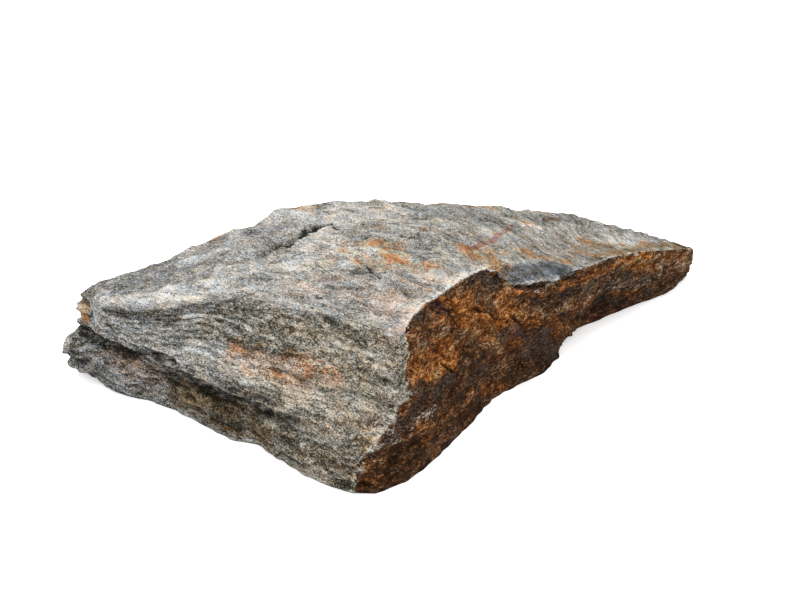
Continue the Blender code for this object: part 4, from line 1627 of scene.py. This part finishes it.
    def material(self) -> bpy.types.Material:
        """Put the stone's material together.

        Noise and the broken mask decide where the brown rock takes over from the grey.  The
        height is a weighted sum of lumps, relief and grains, and of flakes on the brown
        rock.

        Returns:
            The material.
        """
        bench = NodeBench("gneiss", self.banding)
        bench.made["fissures"] = bench.seam("cracking", 0.014)
        hue = bench.mix("grain_hue", self.grey.cool_grain, self.grey.warm_grain)
        grey = bench.tinted(self.grey_rock(bench), hue)
        inside = bench.ease(bench.tone(-1.6, {"ragged": 28.0}, {"broken": 1.0}), -0.8, 0.8)
        scales = bench.tone(0.0, {}, {"flake": 2.2, "flake_away": -2.4, "scale": 1.2,
                                      "scale_away": -1.4})
        bench.made["scales"] = bench.product(scales, inside)
        height = bench.tone(0.0, {}, {"lumps": 7.0, "relief": 3.6, "grain_away": -0.9,
                                      "grain": 0.6, "fissures": -1.2, "scales": 1.0})
        bump = {"Strength": 1.0, "Distance": MM, "Height": height}
        inputs = bench.shader.inputs
        bench.feed(inputs["Base Color"], bench.mix(inside, grey, self.brown_rock(bench)))
        bench.feed(inputs["Roughness"], bench.ease("fleck", 0.0, 1.0, *self.grey.roughness))
        bench.feed(inputs["Normal"], bench.node("Bump", bump, "Normal"))
        inputs["Specular IOR Level"].default_value = self.grey.gloss
        return bench.material


# ---------------------------------------------------------------- the studio

@dataclass(frozen=True)
class Studio:
    """A pale floor and soft light, mostly from overhead and a little from behind."""

    floor_half: float = 4.0
    floor_drop: float = 0.0002
    floor_colour: Colour = (0.94, 0.94, 0.94)
    floor_roughness: float = 0.9
    floor_glow: float = 0.30
    white: tuple[float, ...] = (1.0, 1.0, 1.0, 1.0)
    sky: float = 1.68
    lamp_power: float = 38.0
    lamp_side: float = 1.6
    lamp_place: Size = (-0.15, 0.25, 2.45)

    def lay_floor(self) -> bpy.types.Object:
        """Lay the floor that the stone rests on.

        Returns:
            Its object: one square, a hair below the bed.
        """
        mesh = bpy.data.meshes.new("studio_floor")
        corners = [(x * self.floor_half, y * self.floor_half, -self.floor_drop)
                   for x, y in ((-1, -1), (1, -1), (1, 1), (-1, 1))]
        mesh.from_pydata(corners, [], [(0, 1, 2, 3)])
        paint = bpy.data.materials.new("studio_floor")
        paint.use_nodes = True
        shader = paint.node_tree.nodes["Principled BSDF"]
        shader.inputs["Base Color"].default_value = (*self.floor_colour, 1.0)
        shader.inputs["Roughness"].default_value = self.floor_roughness
        shader.inputs["Emission Color"].default_value = self.white
        shader.inputs["Emission Strength"].default_value = self.floor_glow
        shader.inputs["Specular IOR Level"].default_value = 0.0
        mesh.materials.append(paint)
        return placed("studio_floor", mesh)

    def light(self) -> None:
        """Hang the lamp and set the sky."""
        lamp = bpy.data.lights.new("studio_lamp", "AREA")
        lamp.shape = "SQUARE"
        lamp.size = self.lamp_side
        lamp.energy = self.lamp_power
        hung = placed("studio_lamp", lamp)
        hung.location = self.lamp_place
        hung.rotation_euler = (-Vector(self.lamp_place)).to_track_quat("-Z", "Y").to_euler()
        world = bpy.data.worlds.new("studio_sky")
        world.use_nodes = True
        background = world.node_tree.nodes["Background"]
        background.inputs["Color"].default_value = self.white
        background.inputs["Strength"].default_value = self.sky
        bpy.context.scene.world = world
        bpy.context.scene.view_settings.view_transform = "Standard"


def main() -> None:
    """Build the stone and the studio, and report each piece."""
    logging.basicConfig(level=logging.INFO, format="%(name)s: %(message)s")
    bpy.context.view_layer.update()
    view = StudioView()
    piece = SteppingStone(view=view).build()
    piece.data.materials.append(StoneFinish().material())
    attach(piece, "root")
    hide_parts(NODE)
    mesh = piece.data
    LOG.info("%s: %d vertices, %d faces", piece.name, len(mesh.vertices), len(mesh.polygons))
    studio = Studio()
    floor = studio.lay_floor()
    LOG.info("%s: %.1f m square", floor.name, 2 * studio.floor_half)
    studio.light()
    view.make_camera()


if __name__ == "__main__":
    main()
